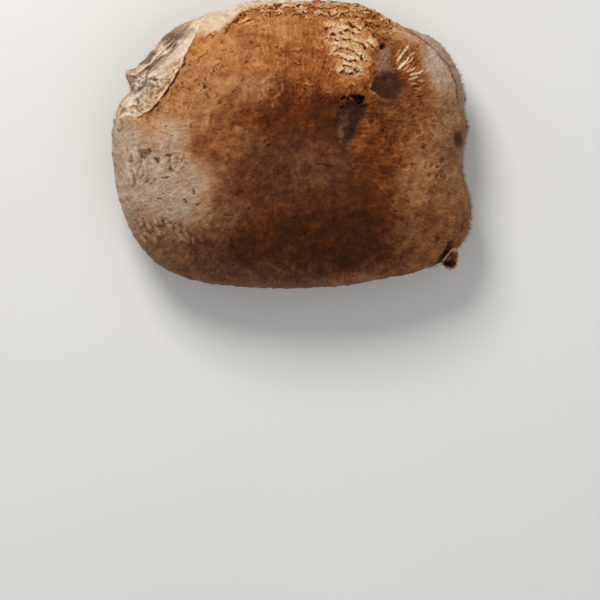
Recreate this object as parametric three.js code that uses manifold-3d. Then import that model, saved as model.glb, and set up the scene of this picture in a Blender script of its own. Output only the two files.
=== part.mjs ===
// A whole portobello mushroom, as picked and trimmed: a broad brown cap with a turned-down
// margin, a ring of dark gills under it, and a stout stem cut flat, on which it stands.
// Millimetres, +Z up. X runs along the cap's longer side, and the origin is the middle of
// the mushroom's own box, on the surface under the stem.
import * as THREE from "three";
import { mergeVertices } from "three/addons/utils/BufferGeometryUtils.js";
import Module from "manifold-3d";

const wasm = await Module();
wasm.setup();

// Driving dimensions
const CAP_HALF_WIDTH = 69; // half of the cap's longer side, along X
const CAP_HALF_DEPTH = 55.3; // half of its shorter side, along Y
const CROWN_Z = 44; // the top of the cap
const FLESH_AT_CENTRE = 12; // thickness of the cap's flesh over the stem
const FLESH_AT_MARGIN = 6.4; // and where the gills end
const EDGE_Z = 16; // height of the cap's widest line
const LIP_Z = 12; // the lowest part of the turned-down margin
const STEM_TOP_RADIUS = 14;
const STEM_WAIST_RADIUS = 12.6;
const STEM_FOOT_RADIUS = 14.2;
const GILL_THICKNESS = 0.9;
const GILL_PAIRS = 56; // each pair is a full gill and a short one
const GILLS_START_RADIUS = 16.2; // the gills are free of the stem
const GAP = 0.3; // between two solids that touch
const FULL_TURN = 2 * Math.PI;

// The cap's outline from above, anticlockwise, as shares of its half width and half depth.
// The tip and the notch at the upper left are where the margin is torn.
const OUTLINE = [
  [0.951, -0.036],
  [0.977, 0.108],
  [0.955, 0.226],
  [0.965, 0.335],
  [0.939, 0.47],
  [0.881, 0.615],
  [0.781, 0.738],
  [0.609, 0.823],
  [0.406, 0.949],
  [0.21, 0.986],
  [-0.014, 0.995],
  [-0.232, 0.976],
  [-0.493, 0.895],
  [-0.616, 0.85],
  [-0.71, 0.769],
  [-0.797, 0.642],
  [-0.891, 0.533],
  [-0.938, 0.501],
  [-0.91, 0.369],
  [-0.965, 0.306],
  [-0.993, 0.188],
  [-1, 0],
  [-0.993, -0.181],
  [-0.959, -0.407],
  [-0.893, -0.62],
  [-0.793, -0.787],
  [-0.652, -0.904],
  [-0.486, -0.964],
  [-0.232, -0.998],
  [0.043, -1.004],
  [0.319, -0.982],
  [0.58, -0.922],
  [0.746, -0.872],
  [0.87, -0.814],
  [0.928, -0.723],
  [0.98, -0.633],
  [1, -0.515],
  [0.993, -0.389],
  [0.952, -0.208],
];
const STEPS_PER_OUTLINE_POINT = 3;

// Inside the margin the cap follows the outline smoothed over this angle, without its tears.
const SMOOTHING_ANGLE = 0.42;
const SMOOTHING_STEPS = 8;
const INNER_SHARE = 0.965;
const OUTLINE_TAKES_OVER = 0.84; // the share of the radius where the outline begins to tell

// The cap's sections, as shares of the radius
const TOP_RINGS = [0.15, 0.3, 0.44, 0.56, 0.67, 0.77, 0.85, 0.91, 0.95, 0.98, 0.995, 1];
const UNDER_RINGS = [0.95, 0.86, 0.72, 0.55, 0.36, 0.2];
const GILLS_END = 0.92;
const FLESH_IS_LEVEL = 0.27;
const DOME_POWER = 3;
const SHOULDER_POWER = 0.52;
const UNDER_POWER = 1.6; // how the flesh thins from the middle to the margin
const ROLL_HEIGHT = 0.7; // the slow waves of the cap's top

// The margin turns down and in, and its lip is ragged where the veil tore away.
const LIP_RINGS = [
  { share: 0.992, height: (EDGE_Z + LIP_Z) / 2, raggedness: 0 },
  { share: 0.972, height: LIP_Z, raggedness: 1.6 },
  { share: 0.95, height: LIP_Z + 0.6, raggedness: 0.8 },
];

// The upper left shoulder, where the skin is torn off along a line and the flesh is lower
const TEAR_FROM = new THREE.Vector2(-40, 34);
const TEAR_TO = new THREE.Vector2(-53, 12);
const TEAR_DEPTH = 1.6;
const TEAR_STEPS_DOWN = [-0.5, 2.5]; // how far outside the line the step starts and ends
const TEAR_FADES = 0.5; // how far past each end the step fades out, in lengths of the line

// Where the skin has cracked into raised scales: each patch's middle, and half its size
// round the cap and outwards. The scales stand in staggered rows.
const SCALE_PATCHES = [
  { x: 22, y: 37, around: 13, outwards: 11 },
  { x: -2, y: 46, around: 22, outwards: 4 },
  { x: -48, y: -30, around: 12, outwards: 6 },
  { x: -57, y: -4, around: 11, outwards: 5 },
];
const SCALES_END = 0.88; // the share of the radius past which there are none
const SCALE_WIDTH = 4.8;
const SCALE_LENGTH = 3.8;
const SCALE_SPACING = 1.25; // from one scale to the next, in scales
const SCALE_LIFT = 0.9;
const SCALE_ROOT = 1.2; // how deep a raised piece is rooted in the flesh
const SCALE_TAPER = 0.6; // how wide a scale is at its root, as a share of its free side
const SCALE_SIZES = [0.7, 1.3]; // the smallest and the largest scale, as shares of the usual one

// Flakes of skin that stand up along the torn line, with their free side over the bare flesh
const TEAR_FLAKES = 8;
const TEAR_FLAKE = { width: 4.4, length: 3, lift: 1.5 };

// What is sunk in the top: a long shallow gouge below a dark slot, a round bruise, the long
// cracks between the scales, and the groove behind a torn flap at the lower right
const SCOOPS = [
  { x: 21.7, y: 7.3, halfLength: 10.4, halfWidth: 4.2, depth: 0.9, turn: 1.22 },
  { x: 25.8, y: 17.3, halfLength: 2.4, halfWidth: 1.4, depth: 2.4, turn: -0.15 },
  { x: 36.8, y: 22.5, halfLength: 6.8, halfWidth: 5.4, depth: 0.5, turn: 0.1 },
  { x: 24.3, y: 45, halfLength: 3.4, halfWidth: 0.6, depth: 0.8, turn: -0.55 },
  { x: 24.3, y: 39.2, halfLength: 5.6, halfWidth: 0.6, depth: 0.8, turn: -0.42 },
  { x: 22.2, y: 35.3, halfLength: 7.2, halfWidth: 0.7, depth: 1, turn: -0.54 },
  { x: 23.1, y: 29.3, halfLength: 4.4, halfWidth: 0.6, depth: 0.8, turn: -0.35 },
  { x: 58.2, y: -42.4, halfLength: 5.2, halfWidth: 0.9, depth: 1.5, turn: 0.94 },
];

// Narrow raised streaks beside the bruise
const STREAKS = [
  { x: 43.1, y: 34.5, length: 5.7, turn: 0.84 },
  { x: 43.9, y: 31.8, length: 5.8, turn: 0.65 },
  { x: 45.6, y: 30.7, length: 4.3, turn: 0.47 },
  { x: 46.2, y: 35.9, length: 2.6, turn: 0.79 },
  { x: 41.4, y: 32.6, length: 2.8, turn: 0.91 },
  { x: 47.4, y: 33.2, length: 2.6, turn: 0.59 },
  { x: 47.7, y: 27.2, length: 4.2, turn: 0.24 },
  { x: 47.6, y: 25.7, length: 3.2, turn: 0.14 },
  { x: 49.6, y: 24.2, length: 3.2, turn: 0.17 },
  { x: 48.6, y: 29.2, length: 2.8, turn: 0.35 },
  { x: 47, y: 22.3, length: 3, turn: 0 },
  { x: 48.8, y: 20.6, length: 2.6, turn: -0.14 },
];
const STREAK_SIZE = { width: 1.1, lift: 0.6 };
const RIDGE_SHOULDERS = 0.2; // where a ridge is widest, as a share of its length from its middle

// A small lens of skin on the left margin
const LENS = { x: -65.8, y: 7.3, length: 5, turn: 1.47, width: 2, lift: 0.6 };

// The torn flap that stands out from the margin at the lower right: its middle, and its corners
// from there, each with how far it rises
const FLAP_MIDDLE = [61, -44.6];
const FLAP_CORNERS = [
  [-3.4, -1, 0.4],
  [-0.6, -3.8, 1],
  [1.9, -3.3, 1.3],
  [2.8, -0.6, 1.2],
  [3.1, 2.2, 1.2],
  [2.3, 4.2, 1],
  [0.5, 4.2, 0.8],
  [-1.3, 2.2, 0.5],
];

// A second lip outside the margin at the upper right, beyond a crease
const CREASE_DEPTH = 0.9;
const CREASE_SHARES = [0.91, 0.95, 0.98];
const CREASE_ANGLES = [0.15, 0.3, 0.62, 0.8];

// A repeatable random number from 0 to 1
function randomFrom(seed) {
  let state = seed;
  return () => {
    state = (state + 0x6d2b79f5) | 0;
    let t = Math.imul(state ^ (state >>> 15), 1 | state);
    t = (t + Math.imul(t ^ (t >>> 7), 61 | t)) ^ t;
    return ((t ^ (t >>> 14)) >>> 0) / 4294967296;
  };
}

// A random number up to half of the spread to either side of nothing
function jitter(random, spread) {
  return spread * (random() - 0.5);
}

function smooth(low, high, value) {
  return THREE.MathUtils.smoothstep(value, low, high);
}

// Outline and sections

const outlineCurve = new THREE.CatmullRomCurve3(
  OUTLINE.map(([x, y]) => new THREE.Vector3(x * CAP_HALF_WIDTH, y * CAP_HALF_DEPTH, 0)),
  true,
  "centripetal",
);

const EDGE_POINTS = Array.from({ length: OUTLINE.length * STEPS_PER_OUTLINE_POINT }, (_, i) => {
  const point = outlineCurve.getPoint(i / (OUTLINE.length * STEPS_PER_OUTLINE_POINT));
  return { angle: Math.atan2(point.y, point.x), radius: Math.hypot(point.x, point.y) };
});

// The outline's radius at any angle, between the two edge points on either side of it
function outlineRadius(angle) {
  const turned = (point) => THREE.MathUtils.euclideanModulo(angle - point.angle, FULL_TURN);
  let before = 0;
  for (let i = 1; i < EDGE_POINTS.length; i += 1) {
    if (turned(EDGE_POINTS[i]) < turned(EDGE_POINTS[before])) before = i;
  }
  const [low, high] = [EDGE_POINTS[before], EDGE_POINTS[(before + 1) % EDGE_POINTS.length]];
  const width = THREE.MathUtils.euclideanModulo(high.angle - low.angle, FULL_TURN);
  return THREE.MathUtils.lerp(low.radius, high.radius, turned(low) / width);
}

function innerRadius(angle) {
  let [sum, weights] = [0, 0];
  for (let k = -SMOOTHING_STEPS; k <= SMOOTHING_STEPS; k += 1) {
    const weight = 1 - Math.abs(k) / (SMOOTHING_STEPS + 1);
    sum += weight * outlineRadius(angle + (k / SMOOTHING_STEPS) * SMOOTHING_ANGLE);
    weights += weight;
  }
  return (INNER_SHARE * sum) / weights;
}

// One spoke for each step along the outline: its angle, and its radius inside and at the edge
const SPOKES = EDGE_POINTS.map(({ angle, radius }) => ({
  angle,
  inner: innerRadius(angle),
  outer: radius,
}));

function spokeRadius(spoke, share) {
  const told = smooth(OUTLINE_TAKES_OVER, 1, share);
  return share * (spoke.inner + (spoke.outer - spoke.inner) * told);
}

// The share of the radius that any point lies at, by halving
const HALVINGS = 16;

function shareAt(x, y) {
  const angle = Math.atan2(y, x);
  const spoke = { inner: innerRadius(angle), outer: outlineRadius(angle) };
  let [low, high] = [0, 1];
  for (let i = 0; i < HALVINGS; i += 1) {
    const share = (low + high) / 2;
    if (spokeRadius(spoke, share) < Math.hypot(x, y)) low = share;
    else high = share;
  }
  return low;
}

// How far a point lies outside the line of the torn skin
function outsideTear(x, y) {
  const along = TEAR_TO.clone().sub(TEAR_FROM);
  const length = along.length();
  const from = new THREE.Vector2(x, y).sub(TEAR_FROM);
  const share = from.dot(along) / length ** 2;
  const ends = smooth(-TEAR_FADES, 0, share) * (1 - smooth(1, 1 + TEAR_FADES, share));
  return { out: -along.cross(from) / length, ends };
}

// The rim rises and falls a little on its way round
function rimWave(angle) {
  return 0.9 * Math.sin(2 * angle + 0.6) + 0.6 * Math.sin(3 * angle - 1.1);
}

// How deep the crease inside the second lip is at a point
function crease(share, angle) {
  const [inner, middle, outer] = CREASE_SHARES;
  const [start, full, fades, end] = CREASE_ANGLES;
  const across = smooth(inner, middle, share) * (1 - smooth(middle, outer, share));
  return CREASE_DEPTH * across * smooth(start, full, angle) * (1 - smooth(fades, end, angle));
}

function topHeight(share, angle, x, y) {
  const dome = Math.max(0, 1 - share ** DOME_POWER) ** SHOULDER_POWER;
  const edge = EDGE_Z + rimWave(angle);
  const wave = Math.sin(0.06 * x + 0.9) * Math.sin(0.07 * y - 0.4);
  const roll = ROLL_HEIGHT * wave * smooth(0.1, 0.5, dome);
  const tear = outsideTear(x, y);
  const drop = TEAR_DEPTH * smooth(...TEAR_STEPS_DOWN, tear.out) * tear.ends * smooth(0, 0.25, dome);
  return edge + (CROWN_Z - edge) * dome + roll - drop - crease(share, angle);
}

const UNDER_CENTRE_Z = CROWN_Z - FLESH_AT_CENTRE;
const UNDER_MARGIN_Z =
  EDGE_Z + (CROWN_Z - EDGE_Z) * (1 - GILLS_END ** DOME_POWER) ** SHOULDER_POWER - FLESH_AT_MARGIN;

function underHeight(share) {
  const fall = Math.max(0, (share - FLESH_IS_LEVEL) / (GILLS_END - FLESH_IS_LEVEL));
  return UNDER_CENTRE_Z - (UNDER_CENTRE_Z - UNDER_MARGIN_Z) * fall ** UNDER_POWER;
}

// Solids

// Joins rings of equal length into a closed surface: from the first pole to the last, or,
// with no poles, from the last ring back to the first.
function skin(rings, poles) {
  const count = rings[0].length;
  const points = [...rings.flat(), ...(poles ?? [])];
  const faces = [];
  const bands = poles ? rings.length - 1 : rings.length;
  for (let k = 0; k < bands; k += 1) {
    const next = (k + 1) % rings.length;
    for (let i = 0; i < count; i += 1) {
      const j = (i + 1) % count;
      const [a, b, c, d] = [k * count + i, k * count + j, next * count + i, next * count + j];
      faces.push(a, c, d, a, d, b);
    }
  }
  if (poles) {
    const [top, bottom] = [points.length - 2, points.length - 1];
    const last = (rings.length - 1) * count;
    for (let i = 0; i < count; i += 1) {
      const j = (i + 1) % count;
      faces.push(top, i, j, bottom, last + j, last + i);
    }
  }
  return new THREE.BufferGeometry()
    .setAttribute("position", new THREE.Float32BufferAttribute(points.flat(), 3))
    .setIndex(faces);
}

function solidOf(geometry) {
  return new wasm.Manifold(
    new wasm.Mesh({
      numProp: 3,
      vertProperties: geometry.getAttribute("position").array,
      triVerts: new Uint32Array(geometry.index.array),
    }),
  );
}

// A library geometry as a solid: its faces share their corners once those are merged.
const MERGE_DISTANCE = 1e-3;

function closedSolid(geometry) {
  geometry.deleteAttribute("normal");
  geometry.deleteAttribute("uv");
  return solidOf(mergeVertices(geometry, MERGE_DISTANCE));
}

function geometryOf(solid) {
  const mesh = solid.getMesh();
  return new THREE.BufferGeometry()
    .setAttribute("position", new THREE.BufferAttribute(mesh.vertProperties, 3))
    .setIndex(new THREE.BufferAttribute(mesh.triVerts, 1));
}

function capRing(share) {
  return SPOKES.map((spoke) => {
    const radius = spokeRadius(spoke, share);
    const [x, y] = [radius * Math.cos(spoke.angle), radius * Math.sin(spoke.angle)];
    return [x, y, topHeight(share, spoke.angle, x, y)];
  });
}

function lipRing({ share, height, raggedness }, seed) {
  const random = randomFrom(seed);
  return SPOKES.map((spoke) => {
    const radius = spoke.outer * share;
    const torn = jitter(random, raggedness);
    const wave = rimWave(spoke.angle);
    return [radius * Math.cos(spoke.angle), radius * Math.sin(spoke.angle), height + wave + torn];
  });
}

function underRing(share) {
  return SPOKES.map((spoke) => {
    const radius = spoke.inner * share;
    return [radius * Math.cos(spoke.angle), radius * Math.sin(spoke.angle), underHeight(share)];
  });
}

// A low solid on the cap's top, from the corners of its upper side: how far each lies along
// and beside its heading, and how far it rises
function raisedAt(x, y, heading, corners) {
  const upper = corners.map(([forward, side, rise]) => {
    const px = x + forward * Math.cos(heading) - side * Math.sin(heading);
    const py = y + forward * Math.sin(heading) + side * Math.cos(heading);
    return [px, py, topHeight(shareAt(px, py), Math.atan2(py, px), px, py) + rise];
  });
  const lower = upper.map(([px, py, z], i) => [px, py, z - SCALE_ROOT - corners[i][2]]);
  const middle = (ring) => [0, 1, 2].map((k) => ring.reduce((sum, p) => sum + p[k], 0) / ring.length);
  return solidOf(skin([upper, lower], [middle(upper), middle(lower)]));
}

// One raised scale: a wedge whose free side lies behind its heading
function scaleAt(x, y, heading, { width, length, lift }) {
  const rootWidth = width * SCALE_TAPER;
  return raisedAt(x, y, heading, [
    [-length / 2, width / 2, lift],
    [-length / 2, -width / 2, lift],
    [length / 2, -rootWidth / 2, 0],
    [length / 2, rootWidth / 2, 0],
  ]);
}

// A narrow ridge that is pointed at both ends
function ridgeAt({ x, y, length, turn, width, lift }) {
  const shoulder = length * RIDGE_SHOULDERS;
  return raisedAt(x, y, turn, [
    [-length / 2, 0, 0],
    [-shoulder, -width / 2, lift],
    [shoulder, -width / 2, lift],
    [length / 2, 0, 0],
    [shoulder, width / 2, lift],
    [-shoulder, width / 2, lift],
  ]);
}

function tearFlakes(random) {
  const line = TEAR_TO.clone().sub(TEAR_FROM);
  const inwards = line.angle() + Math.PI / 2;
  return Array.from({ length: TEAR_FLAKES }, (_, i) => {
    const spot = line.clone().multiplyScalar((i + 0.5 + jitter(random, 0.3)) / TEAR_FLAKES);
    spot.add(TEAR_FROM);
    return scaleAt(spot.x, spot.y, inwards + jitter(random, 0.6), TEAR_FLAKE);
  });
}

function scalesOf(patch, random) {
  const [radius, angle] = [Math.hypot(patch.x, patch.y), Math.atan2(patch.y, patch.x)];
  const [rowStep, stepAround] = [SCALE_LENGTH * SCALE_SPACING, SCALE_WIDTH * SCALE_SPACING];
  const rows = Math.floor(patch.outwards / rowStep);
  const columns = Math.ceil(patch.around / stepAround);
  const varied = (size) => size * THREE.MathUtils.lerp(...SCALE_SIZES, random());
  const scales = [];
  for (let row = -rows; row <= rows; row += 1) {
    for (let column = -columns; column <= columns; column += 1) {
      const out = (row + jitter(random, 0.5)) * rowStep;
      const around = (column + 0.5 * (row % 2) + jitter(random, 0.4)) * stepAround;
      const turned = angle + around / radius;
      const [x, y] = [(radius + out) * Math.cos(turned), (radius + out) * Math.sin(turned)];
      const inside = Math.hypot(out / patch.outwards, around / patch.around) < 1.05;
      if (!inside || shareAt(x, y) > SCALES_END) continue;
      const size = {
        width: varied(SCALE_WIDTH),
        length: varied(SCALE_LENGTH),
        lift: varied(SCALE_LIFT),
      };
      scales.push(scaleAt(x, y, turned + jitter(random, 0.5), size));
    }
  }
  return scales;
}

function topPoint(x, y) {
  return new THREE.Vector3(x, y, topHeight(shareAt(x, y), Math.atan2(y, x), x, y));
}

// The direction straight out of the top at a point, from points a little to each side of it
const NORMAL_REACH = 1.5;

function topNormal(x, y) {
  const across = topPoint(x + NORMAL_REACH, y).sub(topPoint(x - NORMAL_REACH, y));
  const up = topPoint(x, y + NORMAL_REACH).sub(topPoint(x, y - NORMAL_REACH));
  return across.cross(up).normalize();
}

// What is scooped out of the top: an egg shape that dips into it by the given depth
const SCOOP_HALF_HEIGHT = 4;
const UP = new THREE.Vector3(0, 0, 1);

function scoopAt({ x, y, halfLength, halfWidth, depth, turn }) {
  const egg = new THREE.SphereGeometry(1, 20, 10);
  const reach = 1 / Math.sqrt(1 - (1 - depth / SCOOP_HALF_HEIGHT) ** 2);
  egg.scale(halfLength * reach, halfWidth * reach, SCOOP_HALF_HEIGHT);
  egg.rotateZ(turn);
  const normal = topNormal(x, y);
  egg.applyQuaternion(new THREE.Quaternion().setFromUnitVectors(UP, normal));
  const middle = topPoint(x, y).addScaledVector(normal, SCOOP_HALF_HEIGHT - depth);
  egg.translate(middle.x, middle.y, middle.z);
  return closedSolid(egg);
}

function capSolid() {
  const rings = [
    ...TOP_RINGS.map(capRing),
    ...LIP_RINGS.map(lipRing),
    ...UNDER_RINGS.map(underRing),
  ];
  const poles = [
    [0, 0, topHeight(0, 0, 0, 0)],
    [0, 0, underHeight(0)],
  ];
  const random = randomFrom(11);
  const scales = SCALE_PATCHES.flatMap((patch) => scalesOf(patch, random));
  const ridges = [...STREAKS.map((streak) => ({ ...streak, ...STREAK_SIZE })), LENS];
  const flap = raisedAt(...FLAP_MIDDLE, 0, FLAP_CORNERS);
  const raised = [...scales, ...tearFlakes(random), ...ridges.map(ridgeAt), flap];
  const whole = wasm.Manifold.union([solidOf(skin(rings, poles)), ...raised]);
  return wasm.Manifold.difference([whole, ...SCOOPS.map(scoopAt)]);
}

// The thin layer that the gills hang from, just under the cap's flesh
const GILL_LAYER = 1.2;
const GILL_LAYER_GAP = 0.5;
const GILL_LAYER_SHARES = [0, 0.35, 0.75, 1];

function gillEndRadius(angle) {
  return innerRadius(angle) * GILLS_END;
}

function gillTop(angle, share) {
  const radius = THREE.MathUtils.lerp(GILLS_START_RADIUS, gillEndRadius(angle), share);
  return { radius, z: underHeight(radius / innerRadius(angle)) - GILL_LAYER_GAP };
}

function gillLayer() {
  const ring = (share, drop) =>
    Array.from({ length: GILL_PAIRS }, (_, i) => {
      const angle = ((i + 0.25) / GILL_PAIRS) * FULL_TURN;
      const { radius, z } = gillTop(angle, share);
      return [radius * Math.cos(angle), radius * Math.sin(angle), z - drop];
    });
  const rings = [
    ...GILL_LAYER_SHARES.map((share) => ring(share, 0)),
    ...[...GILL_LAYER_SHARES].reverse().map((share) => ring(share, GILL_LAYER)),
  ];
  return solidOf(skin(rings));
}

// The free edge of a gill: how far along it, and its height. Its inner end hangs straight down.
const GILL_INNER_END = 3;
const GILL_END_GAPS = [0.1, 0.2]; // from the layer's inner and outer border
const SHORT_GILLS_FROM = [0.55, 0.34];
const GILL_EDGE = [
  [0.04, 22],
  [0.16, 18.6],
  [0.5, 16.6],
  [0.86, 15.4],
  [1, 16.2],
];

function gillBlade(angle, from) {
  const end = gillEndRadius(angle);
  const start = THREE.MathUtils.lerp(GILLS_START_RADIUS, end, from);
  const shape = new THREE.Shape();
  const [inner, outer] = [start + GILL_END_GAPS[0], end - GILL_END_GAPS[1]];
  shape.moveTo(inner, gillTop(angle, from).z - GILL_INNER_END);
  for (const [share, z] of GILL_EDGE) {
    shape.lineTo(THREE.MathUtils.lerp(inner, outer, share), z);
  }
  for (const share of [1, (1 + from) / 2, from]) {
    const { radius, z } = gillTop(angle, share);
    shape.lineTo(THREE.MathUtils.clamp(radius, inner, outer), z - GILL_LAYER / 2);
  }
  const blade = new THREE.ExtrudeGeometry(shape, { depth: GILL_THICKNESS, bevelEnabled: false });
  blade.translate(0, 0, -GILL_THICKNESS / 2);
  blade.rotateX(Math.PI / 2);
  blade.rotateZ(angle);
  return closedSolid(blade);
}

function gillsSolid() {
  const blades = [gillLayer()];
  for (let i = 0; i < GILL_PAIRS; i += 1) {
    const step = FULL_TURN / GILL_PAIRS;
    blades.push(gillBlade(i * step, 0));
    blades.push(gillBlade((i + 0.5) * step, SHORT_GILLS_FROM[i % 2]));
  }
  return wasm.Manifold.union(blades);
}

// The stem: a stout stalk cut flat, with the torn ring of the veil round it
const STEM_SIDES = 36;
const STEM_TOP_Z = UNDER_CENTRE_Z - GAP;
const RING_Z = 12;
const RING_REACH = 3.4;
const RING_RAGGEDNESS = 1.6;
const STEM_SWELL = 0.35; // how far from round the stalk is

function stemSolid() {
  const profile = [
    [STEM_FOOT_RADIUS - 0.9, 0],
    [STEM_FOOT_RADIUS, 1.1],
    [STEM_FOOT_RADIUS - 0.3, 5],
    [STEM_WAIST_RADIUS + 0.6, RING_Z - 2.2],
    [STEM_WAIST_RADIUS + RING_REACH, RING_Z - 1.2],
    [STEM_WAIST_RADIUS + RING_REACH - 0.3, RING_Z - 0.2],
    [STEM_WAIST_RADIUS + 0.5, RING_Z + 2.2],
    [STEM_WAIST_RADIUS, RING_Z + 6],
    [STEM_WAIST_RADIUS + 0.4, STEM_TOP_Z - 5],
    [STEM_TOP_RADIUS, STEM_TOP_Z],
  ];
  const random = randomFrom(5);
  const ragged = Array.from({ length: STEM_SIDES }, () => random());
  const rings = [...profile].reverse().map(([radius, z]) =>
    Array.from({ length: STEM_SIDES }, (_, i) => {
      const angle = (i / STEM_SIDES) * FULL_TURN;
      const torn = Math.abs(z - RING_Z) < 1.5 ? RING_RAGGEDNESS * ragged[i] : 0;
      const swell = STEM_SWELL * (Math.sin(3 * angle + 0.16 * z) + 0.6 * Math.sin(7 * angle));
      const far = radius + swell - torn;
      return [far * Math.cos(angle), far * Math.sin(angle), z - torn / 2];
    }),
  );
  const poles = [
    [0, 0, STEM_TOP_Z],
    [0, 0, 0],
  ];
  return solidOf(skin(rings, poles));
}

// The mushroom

const capFinish = new THREE.MeshStandardMaterial({
  color: new THREE.Color(0.62, 0.4, 0.25),
  roughness: 0.75,
  metalness: 0,
});
const gillFinish = new THREE.MeshStandardMaterial({
  color: new THREE.Color(0.25, 0.15, 0.1),
  roughness: 0.85,
  metalness: 0,
});
const stemFinish = new THREE.MeshStandardMaterial({
  color: new THREE.Color(0.84, 0.76, 0.63),
  roughness: 0.8,
  metalness: 0,
});

function named(name, solid, finish) {
  const mesh = new THREE.Mesh(geometryOf(solid), finish);
  mesh.name = name;
  return mesh;
}

const mushroom = new THREE.Group();
mushroom.add(named("cap", capSolid(), capFinish));
mushroom.add(named("gills", gillsSolid(), gillFinish));
mushroom.add(named("stem", stemSolid(), stemFinish));

// The origin goes to the middle of the whole mushroom's box, at the foot of the stem.
const box = new THREE.Box3().setFromObject(mushroom);
const middle = box.getCenter(new THREE.Vector3());
mushroom.position.set(-middle.x, -middle.y, -box.min.z);

export default mushroom;
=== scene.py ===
"""A portobello mushroom seen from straight above, as picked and trimmed.

The skin, flesh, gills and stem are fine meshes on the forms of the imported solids. Shapes are
worked out in millimetres in the cap's own plan, and become metres when a mesh is made.
"""

import math

import bpy
import numpy as np
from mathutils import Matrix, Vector


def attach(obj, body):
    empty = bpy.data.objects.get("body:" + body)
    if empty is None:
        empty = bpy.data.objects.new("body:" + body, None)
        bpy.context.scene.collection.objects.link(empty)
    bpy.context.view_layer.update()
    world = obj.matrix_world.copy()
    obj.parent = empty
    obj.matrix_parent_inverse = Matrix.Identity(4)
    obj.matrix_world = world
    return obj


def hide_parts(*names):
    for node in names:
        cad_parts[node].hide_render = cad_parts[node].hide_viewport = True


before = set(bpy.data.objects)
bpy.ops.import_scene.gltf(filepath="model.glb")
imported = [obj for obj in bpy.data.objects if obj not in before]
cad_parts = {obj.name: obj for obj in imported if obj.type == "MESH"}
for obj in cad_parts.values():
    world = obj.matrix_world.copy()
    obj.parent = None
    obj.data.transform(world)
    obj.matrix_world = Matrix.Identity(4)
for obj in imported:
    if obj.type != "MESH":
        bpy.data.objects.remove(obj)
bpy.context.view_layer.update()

MM = 0.001
TURN = 2 * math.pi

# The solids' own dimensions, in millimetres, and the powers and shares of their curves

CAP_HALF_WIDTH = 69
CAP_HALF_DEPTH = 55.3
CROWN_Z = 44
FLESH_AT_CENTRE = 12
FLESH_AT_MARGIN = 6.4
EDGE_Z = 16
LIP_Z = 12
DOME_POWER = 3
SHOULDER_POWER = 0.52
UNDER_POWER = 1.6
GILLS_END = 0.92
FLESH_IS_LEVEL = 0.27
GILLS_START_RADIUS = 16.2
STEM_TOP_RADIUS = 14
STEM_WAIST_RADIUS = 12.6
STEM_FOOT_RADIUS = 14.2
RING_Z = 12
RING_REACH = 3.4

# The photo's scale at the height of the cap's rim, its middle from the mushroom's in millimetres,
# and the camera's height in metres

MM_PER_PIXEL = 0.385
PHOTO_PIXELS = 600
PHOTO_MIDDLE = (3.1, -60.1)
CAMERA_HEIGHT = 1.2

# The cap's outline from above, anticlockwise, as shares of its half width and half depth

OUTLINE = [
    (0.951, -0.036), (0.977, 0.108), (0.955, 0.226), (0.965, 0.335), (0.939, 0.47),
    (0.881, 0.615), (0.781, 0.738), (0.609, 0.823), (0.406, 0.949), (0.21, 0.986),
    (-0.014, 0.995), (-0.232, 0.976), (-0.493, 0.895), (-0.616, 0.85), (-0.71, 0.769),
    (-0.797, 0.642), (-0.891, 0.533), (-0.938, 0.501), (-0.91, 0.369), (-0.965, 0.306),
    (-0.993, 0.188), (-1, 0), (-0.993, -0.181), (-0.959, -0.407), (-0.893, -0.62),
    (-0.793, -0.787), (-0.652, -0.904), (-0.486, -0.964), (-0.232, -0.998), (0.043, -1.004),
    (0.319, -0.982), (0.58, -0.922), (0.746, -0.872), (0.87, -0.814), (0.928, -0.723),
    (0.98, -0.633), (1, -0.515), (0.993, -0.389), (0.952, -0.208),
]
STEPS_PER_OUTLINE_POINT = 24
SMOOTHING_ANGLE = 0.42
INNER_SHARE = 0.965
OUTLINE_TAKES_OVER = 0.84

# The cap's mesh is a square grid pulled round, with this many squares from its middle to its side

GRID_HALF = 136


# Noise


class Noise:
    """Smooth repeatable noise from about -1 to 1, with one bump to a unit."""

    def __init__(self, seed):
        random = np.random.default_rng(seed)
        self.order = random.permutation(256)
        angles = random.uniform(0, TURN, 256)
        self.slopes = np.stack([np.cos(angles), np.sin(angles)], axis=1)

    def corner(self, column, row, across, up):
        slope = self.slopes[self.order[(self.order[column & 255] + row) & 255]]
        return slope[..., 0] * across + slope[..., 1] * up

    def __call__(self, x, y):
        column = np.floor(x).astype(int)
        row = np.floor(y).astype(int)
        across = x - column
        up = y - row
        ease_x = across**3 * (across * (across * 6 - 15) + 10)
        ease_y = up**3 * (up * (up * 6 - 15) + 10)
        low = mix(
            self.corner(column, row, across, up),
            self.corner(column + 1, row, across - 1, up),
            ease_x,
        )
        high = mix(
            self.corner(column, row + 1, across, up - 1),
            self.corner(column + 1, row + 1, across - 1, up - 1),
            ease_x,
        )
        return 1.5 * mix(low, high, ease_y)


def mix(low, high, share):
    return low + (high - low) * share


def smooth(start, end, value):
    """A smooth change from 0 at one value to 1 at another."""
    share = np.clip((value - start) / (end - start), 0, 1)
    return share * share * (3 - 2 * share)


def between(rise, fall, value):
    """1 between a rise and a fall, each given by its start and end, and 0 beyond them."""
    return smooth(*rise, value) * (1 - smooth(*fall, value))


def bell(value, width):
    """1 where a value is 0, and less the further it is from 0, compared with the width."""
    return np.exp(-((value / width) ** 2))


def layered(x, y, seed, layers=4):
    """Noise with finer and finer noise on it."""
    total = 0
    for layer in range(layers):
        total = total + Noise(seed + layer)(x * 2**layer, y * 2**layer) / 1.8**layer
    return total


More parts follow.
